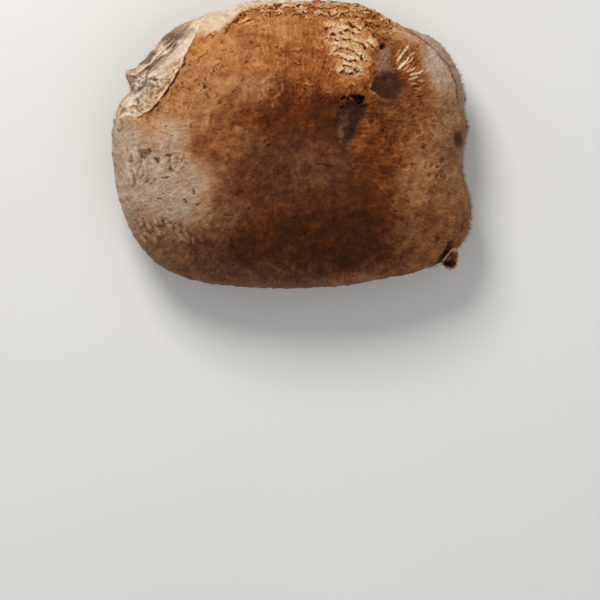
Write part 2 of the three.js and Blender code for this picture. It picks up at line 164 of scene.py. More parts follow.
def combed(u, v, width, length, seed, steps=9):
    """Noise drawn out into fibres that run away from the middle of the cap."""
    noise = Noise(seed)
    heading = np.arctan2(v, u) + 0.5 * Noise(seed + 1)(u / 13, v / 13)
    total = 0
    for step in np.linspace(-0.5, 0.5, steps):
        along = step * length
        total = total + noise(
            (u + along * np.cos(heading)) / width, (v + along * np.sin(heading)) / width
        )
    return total / math.sqrt(steps)


# Shapes drawn on the cap


def ellipse(x, y, centre, half, turn=0.0, soft=0.35):
    """1 inside an ellipse and 0 outside it, with a soft border."""
    dx = x - centre[0]
    dy = y - centre[1]
    along = dx * math.cos(turn) + dy * math.sin(turn)
    across = -dx * math.sin(turn) + dy * math.cos(turn)
    return 1 - smooth(1 - soft, 1 + soft, np.hypot(along / half[0], across / half[1]))


def distance_to_line(x, y, points):
    """The distance to a line through some points, which side of it a point is on, and the share
    of the line's length that lies before the nearest place on it."""
    best = np.full(x.shape, 1e9)
    side = np.zeros(x.shape)
    share = np.zeros(x.shape)
    lengths = [math.dist(a, b) for a, b in zip(points, points[1:])]
    for index, ((ax, ay), (bx, by)) in enumerate(zip(points, points[1:])):
        length = lengths[index]
        tx, ty = (bx - ax) / length, (by - ay) / length
        along = np.clip((x - ax) * tx + (y - ay) * ty, 0, length)
        distance = np.hypot(x - ax - along * tx, y - ay - along * ty)
        closer = distance < best
        side = np.where(closer, np.sign(tx * (y - ay) - ty * (x - ax)), side)
        share = np.where(closer, (sum(lengths[:index]) + along) / sum(lengths), share)
        best = np.where(closer, distance, best)
    return best, side, share


def spindle(x, y, points, width):
    """A shape along a line, pointed at both ends: how far across it a point is, from 0 on the line
    to 1 on the border, and on which side."""
    distance, side, share = distance_to_line(x, y, points)
    half = width * np.sqrt(np.clip(4 * share * (1 - share), 0.0025, 1))
    return distance / half, side


def depth_inside(x, y, corners, steps=1):
    """How far inside a closed border each point is; negative outside it. The border runs smoothly
    through its corners if it is given more steps than one from each to the next."""
    border = [tuple(point) for point in smooth_loop(np.array(corners), steps)]
    closed = border + border[:1]
    inside = np.zeros(x.shape, bool)
    for (ax, ay), (bx, by) in zip(closed, closed[1:]):
        if ay != by:
            crosses = (ay > y) != (by > y)
            inside ^= crosses & (x < (bx - ax) * (y - ay) / (by - ay) + ax)
    distance, _, _ = distance_to_line(x, y, closed)
    return np.where(inside, distance, -distance)


def line_mask(x, y, points, width):
    """1 on a line and 0 further from it than its width."""
    distance, _, _ = distance_to_line(x, y, points)
    return 1 - smooth(0.35 * width, width, distance)


# Outline and sections, as in the solids


def smooth_loop(corners, steps):
    """A smooth closed curve through some corners, with some steps from each to the next."""
    before, start, end, after = (np.roll(corners, shift, axis=0) for shift in (1, 0, -1, -2))

    def root_gap(a, b):
        return np.sqrt(np.linalg.norm(b - a, axis=1))[:, None]

    gap_in, gap, gap_out = root_gap(before, start), root_gap(start, end), root_gap(end, after)
    leave = (start - before) / gap_in - (end - before) / (gap_in + gap) + (end - start) / gap
    arrive = (end - start) / gap - (after - start) / (gap + gap_out) + (after - end) / gap_out
    rows = []
    for t in np.arange(steps) / steps:
        rows.append(
            (2 * t**3 - 3 * t**2 + 1) * start
            + (t**3 - 2 * t**2 + t) * gap * leave
            + (3 * t**2 - 2 * t**3) * end
            + (t**3 - t**2) * gap * arrive
        )
    return np.stack(rows, axis=1).reshape(-1, 2)


EDGE = smooth_loop(np.array(OUTLINE) * (CAP_HALF_WIDTH, CAP_HALF_DEPTH), STEPS_PER_OUTLINE_POINT)
PLAN_MIDDLE = (EDGE.max(axis=0) + EDGE.min(axis=0)) / 2
EDGE_ANGLES = np.arctan2(EDGE[:, 1], EDGE[:, 0])
EDGE_RADII = np.hypot(EDGE[:, 0], EDGE[:, 1])


def outer_radius(angle):
    return np.interp(angle, EDGE_ANGLES, EDGE_RADII, period=TURN)


def smoothed_radius(angle):
    """The outline's radius without its notches, which the inner part of the cap follows."""
    steps = np.linspace(-1, 1, 17)
    weights = 1.13 - np.abs(steps)
    radii = [outer_radius(angle + step * SMOOTHING_ANGLE) for step in steps]
    return INNER_SHARE * np.average(radii, axis=0, weights=weights)


def spoke_radius(angle, share):
    """The radius in plan at a share of the way from the crown to the rim."""
    inner = smoothed_radius(angle)
    told = smooth(OUTLINE_TAKES_OVER, 1, share)
    return share * mix(inner, outer_radius(angle), told)


def share_at(x, y):
    """The share of the radius that each point lies at, by halving."""
    angle = np.arctan2(y, x)
    low, high = np.zeros(x.shape), np.ones(x.shape)
    for _ in range(16):
        share = (low + high) / 2
        nearer = spoke_radius(angle, share) < np.hypot(x, y)
        low, high = np.where(nearer, share, low), np.where(nearer, high, share)
    return low


def rim_wave(angle):
    return 0.9 * np.sin(2 * angle + 0.6) + 0.6 * np.sin(3 * angle - 1.1)


def dome_of(share):
    return np.maximum(0, 1 - share**DOME_POWER) ** SHOULDER_POWER


def top_height(share, angle, x, y):
    dome = dome_of(share)
    edge = EDGE_Z + rim_wave(angle)
    roll = 0.7 * np.sin(0.06 * x + 0.9) * np.sin(0.07 * y - 0.4) * smooth(0.1, 0.5, dome)
    return edge + (CROWN_Z - edge) * dome + roll


UNDER_CENTRE_Z = CROWN_Z - FLESH_AT_CENTRE
UNDER_MARGIN_Z = EDGE_Z + (CROWN_Z - EDGE_Z) * dome_of(GILLS_END) - FLESH_AT_MARGIN


def under_height(share):
    fall = np.maximum(0, (share - FLESH_IS_LEVEL) / (GILLS_END - FLESH_IS_LEVEL))
    return UNDER_CENTRE_Z - (UNDER_CENTRE_Z - UNDER_MARGIN_Z) * fall**UNDER_POWER


MEAN_RADIUS = 62


def lengths_over_skin():
    """Shares of the radius, close together at the rim, and how far it is to each over the skin."""
    shares = 1 - np.linspace(1, 0, 3000) ** 2
    heights = (CROWN_Z - EDGE_Z) * dome_of(shares)
    steps = np.hypot(np.diff(shares * MEAN_RADIUS), np.diff(heights))
    return shares, np.concatenate([[0], np.cumsum(steps)])


SKIN_SHARES, SKIN_LENGTHS = lengths_over_skin()


def skin_length_ratio(share):
    """How much further it is over the skin than in plan, from the crown to a share of the radius."""
    length = np.interp(share, SKIN_SHARES, SKIN_LENGTHS)
    return np.maximum(length, 0.1) / np.maximum(share * MEAN_RADIUS, 0.1)


# The cap's marks, in millimetres from its middle. The flesh is bare outside the torn edge.

TORN_EDGE = [(-32, 52), (-36.5, 43), (-40.4, 36.2), (-42.4, 31.6), (-44.7, 26.6), (-47.7, 21.6),
             (-52, 16.2), (-55.5, 12.6), (-61, 11), (-70, 9)]
RIM_HEADING = math.radians(39.6)
SLOT = [(22.2, 18.5), (26.3, 15.2), (27.5, 16.1), (28.0, 17.9), (26.2, 18.9), (22.4, 18.9)]
SLOT_CRUMBS = [(20.5, 18.0, 1.3, 0.5), (21.9, 17.4, 0.6, 0.9), (19.2, 14.1, 0.9, 0.5)]
GOUGE = [
    (21.8, 16.8), (20.2, 14.9), (18.3, 12.9), (17.1, 10.5), (16.5, 7.8), (16.3, 5.0), (16.5, 2.7),
    (17.2, 0.5), (18.2, -0.8), (19.9, -1.6), (21.6, 0.9), (23.3, 2.9), (24.5, 5.0), (25.3, 8.2),
    (27.1, 11.1), (28.8, 13.5), (29.3, 14.9), (27.9, 15.6),
]
BRUISE = [
    (30.2, 21.3), (32.2, 19.0), (34.4, 17.6), (37.0, 16.9), (40.0, 17.4), (42.4, 19.6), (43.3, 22.7),
    (42.4, 25.8), (40.0, 28.2), (36.4, 28.6), (33.2, 27.0), (31.0, 24.2),
]
BRUISE_TAIL = [
    (32.7, 25.8), (40.6, 27.4), (39.1, 30.4), (38.5, 33.1), (37.9, 36.6), (36.6, 37.7), (34.7, 36.6),
    (32.9, 35.4), (32.4, 30.4),
]
LIP_CREASE = [
    (43.6, 44.3), (48.2, 42.0), (53.1, 38.5), (55.9, 35.9), (60.6, 30.2), (63.3, 23.0), (64.2, 15.5),
]
ROUND_SCAR = (-7.6, 22.0)
SCAR_RADIUS = 4.0
FLAP_FOLD = [(56.6, -46.6), (58.6, -43.6), (60.2, -41.0), (61.4, -38.6)]

# Depths and heights of the marks
TEAR_DEPTH = 1.5
CURL_RISE = 0.8
SCALE_RISE = 0.6
SCALE_CRACK_DEPTH = 0.35
SLOT_DEPTH = 2.2
GOUGE_DEPTH = 1.2
BRUISE_DEPTH = 0.45
HOLE_DEPTH = 0.7
LEFT_PIT_DEPTH = 0.7
SMALL_PIT_DEPTH = 0.45
STROKE_DEPTH = 0.25
SPECK_DEPTH = 0.2
FLAP_GROOVE_DEPTH = 1.2
LIP_STEP = 0.6
BLISTER_RISE = 0.4
SCAR_RISE = 0.35

# Stretches of the margin, in degrees round the cap: where each comes in and where it goes out
TOP_MARGIN = ((40, 56), (116, 128))
LEFT_OF_TOP = ((86, 96), (126, 134))

# Places on the cap, as ellipses: middle, half sizes, turn in radians and softness of the border
SCALED = [((21.5, 41.0), (10.0, 9.0), -0.3, 0.4), ((23.5, 33.5), (7.0, 8.5), 0.2, 0.4)]
AROUND_SCALES = ((15.0, 38.0), (24.0, 15.0), 0.0, 0.6)
BELOW_SCALES = ((28.0, 25.5), (11.0, 5.5), -0.25, 0.6)
STREAKED_UPPER = ((43.8, 32.0), (5.2, 8.0), -0.6, 0.8)
STREAKED_LOWER = ((47.2, 23.5), (4.4, 7.5), 0.2, 0.9)
GRIMY_BAND = ((-52.0, 36.5), (15, 4.0), RIM_HEADING, 0.6)
GRIMY_PATCH = ((-57.5, 23.5), (7.0, 6.0), 1.1, 0.7)
RIDGED_MARGIN = ((-60.5, -8.5), (5.0, 10), 0.1, 0.5)
RIBBED_MARGIN = ((-49.5, -35.0), (13, 6.5), -0.55, 0.5)
LUMPY_SKIN = ((-46.5, -7.5), (7, 5.5), 0.2, 0.5)
LIGHT_IN_GOUGE = ((19.3, 4.6), (7.0, 2.9), 1.5, 0.7)
# Painted shadow along the gouge's right side
SHADOW_IN_GOUGE = [((24.6, 8.6), (6.4, 1.5), 1.05, 0.7), ((22.0, 3.0), (4.0, 1.2), 1.05, 0.7)]
HOLE_ABOVE_BRUISE = ((34.8, 37.6), (1.3, 0.8), 1.0, 0.5)
SECOND_LIP = ((57, 32), (10, 19), 0.5, 0.35)
BLISTER_TOP = ((-66.6, 7.3), (0.9, 2.1), 0.1, 0.3)
BLISTER_FOOT = ((-66.6, 7.3), (1.6, 3.0), 0.1, 0.3)
SPOT_ON_MARGIN = ((64.0, 1.8), (1.6, 2.7), 0.15, 0.5)
PORES = ((61.5, -33), (4.5, 10), -0.35, 0.5)
FLAP_CREASES = [((59.6, -46.0), (2.4, 1.3), -0.2, 0.5), ((59.9, -43.6), (2.8, 0.6), 1.0, 0.6)]

# The free edges of the cracked scales, each from left to right, with the scale above it
SCALE_EDGES = [
    [(12.5, 44.4), (15.3, 45.1), (16.7, 44.7)],
    [(19.0, 46.5), (21.3, 46.7), (22.7, 46.3), (24.6, 44.9), (26.0, 43.7), (27.0, 43.2)],
    [(18.8, 44.2), (21.3, 44.2), (22.5, 44.4)],
    [(14.3, 42.1), (16.0, 42.5), (17.4, 42.1)],
    [(17.6, 42.7), (19.0, 43.1), (20.4, 42.5)],
    [(23.1, 43.3), (24.6, 42.4), (26.6, 42.2)],
    [(14.0, 40.5), (16.7, 40.7), (18.1, 39.5)],
    [(18.6, 41.2), (19.9, 40.7), (22.7, 40.2), (24.4, 39.3), (27.2, 38.6), (28.3, 37.2), (29.3, 36.3)],
    [(28.3, 39.5), (30.8, 38.1), (31.6, 36.6)],
    [
        (14.8, 37.4), (15.3, 38.1), (16.9, 38.3), (18.1, 37.2), (21.1, 37.2), (23.4, 36.0), (25.3, 34.1),
        (26.7, 33.5), (27.9, 31.6),
    ],
    [(15.8, 35.4), (17.3, 36.4), (19.3, 35.6)],
    [(18.1, 33.5), (19.9, 33.0), (22.3, 31.8), (24.4, 32.3), (25.8, 31.3)],
    [(19.0, 30.2), (21.3, 30.2), (23.2, 29.3), (25.1, 28.3), (27.4, 27.8)],
    [(17.7, 27.0), (20.2, 28.8)],
    [(20.4, 27.1), (23.7, 27.1)],
    [(7.7, 51.7), (10.4, 50.4)],
    [(12.4, 49.6), (14.6, 50.2), (16.4, 49.4)],
    [(18.5, 48.9), (21.2, 49.7), (23.9, 49.3)],
    [(23.5, 50.6), (26.2, 51.8), (28.5, 51.0)],
    [(27.0, 47.4), (30.0, 48.9), (32.7, 47.7)],
    [(32.4, 45.0), (34.6, 46.0), (37.0, 45.2)],
]
SCALE_DEPTH = 3.0

# Sharp folds of skin at the left, then at the lower left, by points along each
LEFT_FOLDS = [
    [(-60.0, -0.2), (-59.6, -3.0), (-59.1, -5.9)], [(-59.1, -7.6), (-60.2, -9.8), (-60.0, -12.9)],
    [(-58.1, -9.3), (-58.3, -13.2)], [(-56.3, -12.4), (-57.1, -15.2)], [(-62.7, -3.4), (-62.9, -6.8)],
    [(-61.9, -12.0), (-61.4, -16.4)],
]
LOWER_FOLDS = [
    [(-53.2, -28.2), (-51.8, -31.4)], [(-51.6, -28.0), (-50.0, -31.2)],
    [(-49.0, -29.1), (-47.4, -31.8), (-46.1, -34.4)], [(-52.7, -31.8), (-50.5, -35.2)],
    [(-55.7, -30.4), (-54.0, -33.5)], [(-45.0, -33.1), (-42.6, -36.0), (-39.9, -38.2)],
    [(-44.5, -31.1), (-43.4, -33.9)], [(-41.2, -33.8), (-39.4, -38.0)], [(-38.3, -35.8), (-37.6, -38.8)],
    [(-58.4, -28.8), (-57.6, -31.8)], [(-57.8, -35.4), (-55.8, -38.3)], [(-56.7, -33.8), (-54.5, -36.1)],
    [(-47.2, -31.0), (-46.0, -32.8)], [(-52.9, -35.6), (-51.6, -38.2)],
]
LEFT_PIT = [(-58.3, -7.6), (-58.1, -5.4), (-57.0, -3.4), (-55.6, -3.2), (-54.2, -2.0)]
LEFT_LUMPS = [
    [(-42.5, -3.3), (-42.7, -6.9), (-43.4, -9.5), (-44.9, -11.0)],
    [(-46.8, -3.7), (-45.5, -6.0), (-46.4, -7.6), (-45.3, -9.2)],
    [(-50.0, -3.2), (-48.6, -5.8), (-48.9, -8.2)],
]

# Each kind of fold: its lines, how far they waver, its half width and its height
FOLDS = [
    (LEFT_FOLDS, 0.5, 0.65, 0.55), (LOWER_FOLDS, 0.5, 0.75, 0.42), (LEFT_LUMPS, 1.6, 0.9, 0.22),
]

# The torn flap at the lower right, as in the solids: its middle, and its border from there
FLAP_MIDDLE = (61.0, -44.6)
FLAP_BORDER = [
    (-3.4, -1.0), (-0.6, -3.8), (1.9, -3.3), (2.8, -0.6), (3.1, 2.2), (2.3, 4.2), (0.5, 4.2), (-1.3, 2.2),
]

# The skin's larger areas of colour: the place of each, as above, its tone and its gold. Tone runs
# from dark brown at 0 to bare flesh at 1, and gold from plain brown at 0 to golden brown at 1.
# The areas are partly the skin's own colour and partly painted light and shade: darker towards the bottom
# and lighter towards the top
SKIN_AREAS_AND_SHADE = [
    (((-42, 12), (30, 34), 0.4, 0.6), 0.6, 0.5),
    (((-24, -46), (36, 16), -0.15, 0.6), 0.44, 0.1),
    (((-38, 13), (17, 14), 0.5, 0.5), 0.57, 0.7),
    (((-51, -16), (24, 21), 0.2, 0.45), 0.74, 0.05),
    (((-15, 37), (31, 15), -0.05, 0.4), 0.57, 0.9),
    (((13, 29), (22, 15), 0.0, 0.5), 0.49, 1.0),
    (((4, 10), (27, 9), 0.05, 0.4), 0.345, 1.0),
    (((5, -14), (32, 19), -0.1, 0.4), 0.34, 0.5),
    (((3, -13), (12, 8), 0.2, 0.6), 0.36, 0.3),
    (((-29, -1), (10, 10), 0.2, 0.6), 0.46, 0.75),
    (((33, -4), (11, 26), 0.06, 0.35), 0.37, 1.0),
    (((33, 4), (7, 13), 0.0, 0.5), 0.41, 1.0),
    (((13, 7), (9, 8), 0.3, 0.6), 0.3, 1.0),
    (((15, -36), (42, 15), 0.05, 0.6), 0.27, 0.8),
    (((55, -8), (14, 36), 0.0, 0.6), 0.53, 0.55),
    (((54, -33), (16, 15), 0.5, 0.6), 0.49, 0.6),
    (((42, 24), (12, 16), 0.6, 0.7), 0.42, 0.8),
    (((62, 1), (5, 22), 0.03, 0.8), 0.54, 0.4),
    (((57, 31), (9, 16), 0.6, 0.7), 0.74, 0.05),
    (((50, 39), (5, 11), 1.05, 0.5), 0.86, 0.0),
    (((-66, -8), (8, 30), 0.05, 0.6), 0.8, 0.0),
]

# Pale streaks beside the bruise: x, y, length and heading in degrees
PALE_STREAKS = [
    (42.9, 34.6, 6.2, 54), (43.0, 30.9, 5.8, 48), (45.6, 32.0, 3.6, 46), (46.2, 34.4, 2.6, 37),
    (41.0, 35.0, 3.0, 57), (47.9, 27.0, 4.8, 22), (45.9, 28.2, 3.4, 30), (46.7, 25.2, 3.6, 10),
    (49.7, 24.0, 2.6, 2), (47.0, 22.9, 2.8, -6), (48.8, 20.8, 2.2, -10), (44.4, 29.2, 2.8, 42),
    (41.4, 32.0, 3.0, 52), (44.3, 35.8, 2.6, 50),
]

# Short dark strokes: x, y, length, heading in degrees and how far they bend
STROKES = [
    (-9.2, 8.4, 4.4, 88, 14), (-19.3, 12.2, 3.4, 35, 110), (-22.7, 6.5, 3.2, 80, 55),
    (-28.6, 19.2, 3.6, 110, 120), (-28.0, 15.6, 2.8, 40, 70), (-33.6, 22.4, 2.6, 95, 30),
    (-32.6, 18.6, 2.6, 130, 20), (-17.3, 31.6, 2.4, 60, 100), (-37.7, -18.5, 2.2, 85, 10),
    (-40.8, -21.9, 2.2, 120, 60), (-36.2, -23.1, 2.4, 45, 10), (-19.3, -18.1, 1.8, 140, 20),
    (-24.3, -27.7, 4.2, 8, 40), (-52.2, -6.2, 3.0, 125, 30), (-51.6, 13.1, 1.6, 70, 20),
    (-47.6, -4.4, 3.0, 12, 10), (-46.8, -9.3, 2.2, 75, 40), (-48.6, -13.1, 3.4, 8, 25),
    (-42.6, -6.9, 1.8, 20, 30), (22.3, -8.2, 2.2, 130, 40), (12.5, -8.0, 7.0, 168, 12),
    (35.0, 5.4, 1.4, 50, 10), (36.2, 2.7, 1.3, 130, 10), (49.3, 18.2, 3.6, 8, 14),
    (12.6, 31.4, 1.6, 40, 10), (3.8, 36.0, 1.4, 20, 10), (31.5, 42.0, 2.6, 60, 80),
    (33.8, 39.0, 2.2, 100, 40), (-5.8, 37.4, 1.6, 5, 10), (-54.0, 13.4, 2.2, 75, 30),
    (-44.2, 22.0, 2.0, 60, 40), (-42.2, 23.6, 1.6, 110, 40), (-60.0, 17.0, 3.4, 100, 50),
    (-56.6, 25.4, 4.6, 85, 10), (-53.5, 25.2, 3.2, -5, 30), (-59.7, 13.1, 3.4, -50, 30),
    (45.8, -8.2, 1.6, 30, 20), (57.6, -12.6, 1.2, 60, 10), (40.2, -26.0, 1.4, 30, 20),
    (-8.8, -0.6, 1.6, 10, 150), (17.8, 15.8, 2.0, 40, 40), (5.0, 21.0, 1.2, 80, 20),
]
STROKE_WIDTH = 0.7

# Shallow pits: x, y and radius
PITS = [
    (53.6, -8.3, 0.8), (56.1, -8.9, 0.7), (52.9, -12.1, 1.0), (55.6, -12.4, 0.7), (59.0, -13.0, 0.8),
    (54.9, -16.4, 0.7), (50.8, -1.4, 1.2), (57.9, -6.4, 1.2), (39.0, -22.4, 0.9), (43.5, -8.5, 1.2),
    (-15.8, 5.2, 1.7), (-51.8, -6.4, 1.2), (-46.8, -10.6, 1.2), (43.8, 1.6, 1.5), (49.0, 4.6, 1.1),
    (34.8, 37.8, 1.3), (-10.6, 0.8, 0.8), (-33.6, 21.8, 0.8), (30.6, 8.4, 1.1), (14.0, -2.0, 1.0),
]
SPECKS = 230


def stroke_points(x, y, length, heading, bend):
    """Points along a short arc whose middle is at x, y."""
    points = []
    for share in (-0.5, -0.25, 0, 0.25, 0.5):
        turned = math.radians(heading + bend * share)
        points.append((x + share * length * math.cos(turned), y + share * length * math.sin(turned)))
    return points


def as_photographed(x, y, z):
    """Where the photo shows a point, on the plane at the rim's height that the marks are measured
    on: what is nearer to the camera looks further from the photo's middle."""
    grown = (CAMERA_HEIGHT - EDGE_Z * MM) / (CAMERA_HEIGHT - z * MM)
    return mix(PHOTO_MIDDLE[0], x, grown), mix(PHOTO_MIDDLE[1], y, grown)


class Skin:
    """The relief and the colour masks of the cap's top, which each feature adds to.

    x and y are where the photo shows each point. u and v are its place in the plan, spread out by
    how far it is over the skin."""

    def __init__(self, share, angle, x, y):
        ratio = skin_length_ratio(share)
        self.share, self.angle = share, angle
        self.plan_x, self.plan_y = x, y
        self.x, self.y = as_photographed(x, y, top_height(share, angle, x, y))
        self.u, self.v = x * ratio, y * ratio
        self.height = np.zeros(x.shape)
        # The last mask holds dark marks and specks, and also painted shadow in splits and folds
        self.masks = {name: np.zeros(x.shape) for name in ("tone", "gold", "grey", "dirt")}

    def raise_by(self, amount):
        self.height = self.height + amount

    def paint(self, share, **targets):
        """Brings masks towards their targets where the share is near 1."""
        share = np.clip(share, 0, 1)
        for name, target in targets.items():
            self.masks[name] = mix(self.masks[name], target, share)

    def area(self, centre, half, turn=0.0, soft=0.35):
        return ellipse(self.x, self.y, centre, half, turn, soft)


def flakes(across, outwards, seed):
    """Long overlapping flakes in rows of two sizes. Each is highest at its free edge, which faces
    the crown, and ends where noise fades it out. Gives the height, how far the skin is
    flesh-coloured, and the splits under the free edges, darkened there as painted shadow."""
    height, pale, crack_and_shade = 0, 0, 0
    for row_depth, length, share, number in ((2.4, 4.6, 0.75, seed), (1.25, 2.3, 0.4, seed + 9)):
        bend = 0.8 * Noise(number)(across / length, outwards / (2 * row_depth))
        nick = 0.12 * Noise(number + 1)(across / (0.35 * length), outwards / row_depth)
        place = outwards / row_depth + bend + nick
        row = np.floor(place)
        back = place - row

        def strength(of_row):
            fade = Noise(number + 2)(across / length + 7.3 * of_row, 3.1 * of_row + 0.5)
            return smooth(-0.45, 0.35, fade)

        here, above = strength(row), strength(row + 1)
        under = smooth(0.72, 0.95, back) * above
        height = height + share * (here * (1 - back) - 0.4 * under)
        pale = pale + share * here * (1 - back) ** 0.7
        # The split under each free edge, which is painted dark as its shadow
        crack_and_shade = crack_and_shade + 1.3 * share * under
    return height, smooth(0.15, 0.75, pale), np.clip(crack_and_shade, 0, 1)


def curly(skin, seed, size):
    """Places on the skin, moved about by noise so that a pattern on them runs unevenly."""
    wide = Noise(seed)(skin.u / (4 * size), skin.v / (4 * size))
    narrow = Noise(seed + 1)(skin.u / size, skin.v / size)
    other = Noise(seed + 2)(skin.u / (1.4 * size), skin.v / (1.4 * size))
    return skin.u + size * (wide + 0.1 * narrow), skin.v + size * (0.8 * other + 0.1 * narrow)


def add_ground(skin):
    """The skin itself: slow lumps, short fibres that run outwards, and its areas of colour, which hold
    painted light and shade as well.
    """
    x, y, u, v = skin.plan_x, skin.plan_y, skin.u, skin.v
    away = smooth(8, 30, np.hypot(u, v))
    fibres = combed(u, v, 0.95, 3.4, 1)
    fine = combed(u, v, 0.7, 1.8, 5, 5)
    lumps = layered(u / 15, v / 15, 9, 4)
    grain = layered(u / 2.4, v / 2.4, 15, 2)
    mottle = layered(u / 1.15 + 0.8 * lumps, v / 1.15, 17, 2)
    skin.raise_by(0.5 * lumps + 0.14 * grain + 0.06 * mottle + (0.03 + 0.05 * away) * fibres)
    warp_x = x + 5 * Noise(41)(x / 16, y / 16) + 1.5 * Noise(43)(x / 5, y / 5) + 0.5 * fibres
    warp_y = y + 5 * Noise(42)(x / 16, y / 16) + 1.5 * Noise(44)(x / 5, y / 5) + 0.5 * mottle
    skin.paint(1, tone=0.55, gold=0.3)
    for spot, tone, gold in SKIN_AREAS_AND_SHADE:
        skin.paint(ellipse(warp_x, warp_y, *spot), tone=tone, gold=gold)
    upper = smooth(-40, 10, x * -0.6 + y)
    skin.paint(0.5 * upper * smooth(0.84, 1.0, skin.share + 0.02 * lumps), tone=0.72)
    spots = smooth(0.3, 0.8, layered(u / 3.6 + 7, v / 3.6, 51, 2))
    blotches = layered(u / 7 + 3, v / 7, 55, 3)
    skin.masks["tone"] += (
        0.035 * lumps + 0.035 * grain + 0.03 * mottle + (0.01 + 0.022 * away) * fibres
        + 0.02 * fine - 0.04 * spots + 0.02 * blotches
    )
    skin.masks["gold"] += 0.1 * lumps


def add_cracked_scales(skin):
    """The upper right, where the skin has cracked into scales. Each is highest at its free edge,
    which faces the crown, with a split under it painted dark as its shadow, and is striated outwards."""
    x, y = skin.x, skin.y
    ragged_edge = 0.45 * layered(x / 3.5, y / 3.5, 60, 3)
    where = np.maximum(*(skin.area(*spot) for spot in SCALED))
    where = smooth(0.1, 0.9, where + ragged_edge * (where > 0.02))
    striae = combed(skin.u, skin.v, 0.62, 4.5, 65, 9)
    moved_u, moved_v = curly(skin, 61, 1.3)
    turn = math.radians(-20)
    across = moved_u * math.cos(turn) + moved_v * math.sin(turn)
    outwards = -moved_u * math.sin(turn) + moved_v * math.cos(turn)
    height, pale, crack_and_shade = flakes(across, outwards, 63)
    around = skin.area(*AROUND_SCALES)
    skin.raise_by(0.1 * around * striae)
    skin.masks["tone"] += 0.05 * around * striae
    below = (1 - where) * skin.area(*BELOW_SCALES)
    skin.raise_by(below * 0.4 * height)
    # Below the scales: paler flakes, with painted shadow under their edges
    skin.masks["tone"] += below * (0.12 * pale - 0.22 * crack_and_shade)
    skin.raise_by(where * (0.45 * height + 0.16 * striae))
    skin.paint(0.9 * where, tone=0.67 + 0.09 * striae, gold=0.9)
    skin.paint(0.6 * where * pale, tone=0.83 + 0.08 * striae, gold=0.7)
    # Painted shadow under the flakes' free edges
    skin.paint(0.7 * where * crack_and_shade, tone=0.36, gold=0.95)
    teeth = 0.3 * Noise(62)(x / 0.9, y / 0.9) + 0.35 * Noise(67)(x / 2.2, y / 2.2)
    cracks_and_shade = np.zeros(x.shape)
    for index, line in enumerate(SCALE_EDGES):
        distance, side, share = distance_to_line(x + 0.3 * teeth, y + teeth + 0.12 * striae, line)
        above = distance * side
        ends = between((0, 0.1), (0.9, 1), share)
        strength = ends * np.clip(0.85 + 0.5 * Noise(266 + index)(x / 5, y / 5), 0.3, 1)
        rise = smooth(-0.1, 0.3, above) * np.clip(1 - above / SCALE_DEPTH, 0, 1)
        skin.raise_by(SCALE_RISE * strength * rise)
        skin.paint(0.9 * strength * rise**0.8, tone=0.94 + 0.1 * striae, gold=0.65)
        # The strip under each scale's free edge is a split, painted dark as the edge's shadow
        under = between((-0.8, -0.4), (-0.1, 0.15), above)
        broken = np.clip(0.6 + 0.9 * Noise(166 + index)(x / 1.7, y / 1.7), 0, 1)
        cracks_and_shade = np.maximum(cracks_and_shade, under * strength * broken)
    # Each split is sunk, and painted dark as the scale's shadow
    skin.raise_by(-SCALE_CRACK_DEPTH * cracks_and_shade)
    skin.paint(0.95 * cracks_and_shade, tone=0.12, gold=0.9, dirt=0.25)


def add_tufts(skin):
    """Small curled tufts, scattered over the upper skin."""
    moved_u, moved_v = curly(skin, 151, 1.3)
    turned = skin.angle
    around = (moved_v * np.cos(turned) - moved_u * np.sin(turned)) * 0.6 + 9 * skin.angle
    height, pale, crack_and_shade = flakes(around, np.hypot(moved_u, moved_v), 154)
    scattered = smooth(0.0, 0.5, layered(skin.u / 5, skin.v / 5, 156, 2))
    where = scattered * smooth(-6, 22, skin.v - 0.25 * skin.u)
    skin.raise_by(where * 0.5 * height)
    # The tufts' splits are darkened as painted shadow
    skin.masks["tone"] += where * (0.06 * pale - 0.16 * crack_and_shade)


def add_streak_scales(skin):
    """Narrow pale streaks that point outwards, beside the bruise."""
    fine = combed(skin.u, skin.v, 1.0, 5, 71, 7)
    strayed = 1.6 * layered(skin.x / 5, skin.y / 5, 74, 3) + 0.5 * fine
    where = np.maximum(
        ellipse(skin.x + strayed, skin.y, *STREAKED_UPPER),
        0.85 * ellipse(skin.x + strayed, skin.y, *STREAKED_LOWER),
    )
    moved = 0.35 * Noise(72)(skin.x / 3.4, skin.y / 3.4)
    skin.raise_by(where * 0.2 * fine)
    skin.paint(where, tone=0.42 + 0.09 * fine, gold=1.0)
    for x, y, length, heading in PALE_STREAKS:
        line = stroke_points(x, y, 1.15 * length, heading, 14)
        across, side = spindle(skin.x + moved, skin.y - moved, line, 0.28 + 0.07 * length)
        body = 1 - smooth(0.3, 1.3, across)
        shade = between((0.8, 1.3), (1.3, 2.4), across) * (side < 0)
        bright = 0.35 + 0.6 * smooth(2, 5, length)
        skin.raise_by(0.25 * body - 0.15 * shade)
        skin.paint(0.25 * (1 - smooth(1, 3.5, across)), tone=0.66, gold=0.8)
        skin.paint(0.5 * shade, tone=0.3, gold=1.0)
        skin.paint(bright * body, tone=0.96 + 0.08 * fine, gold=0.3)


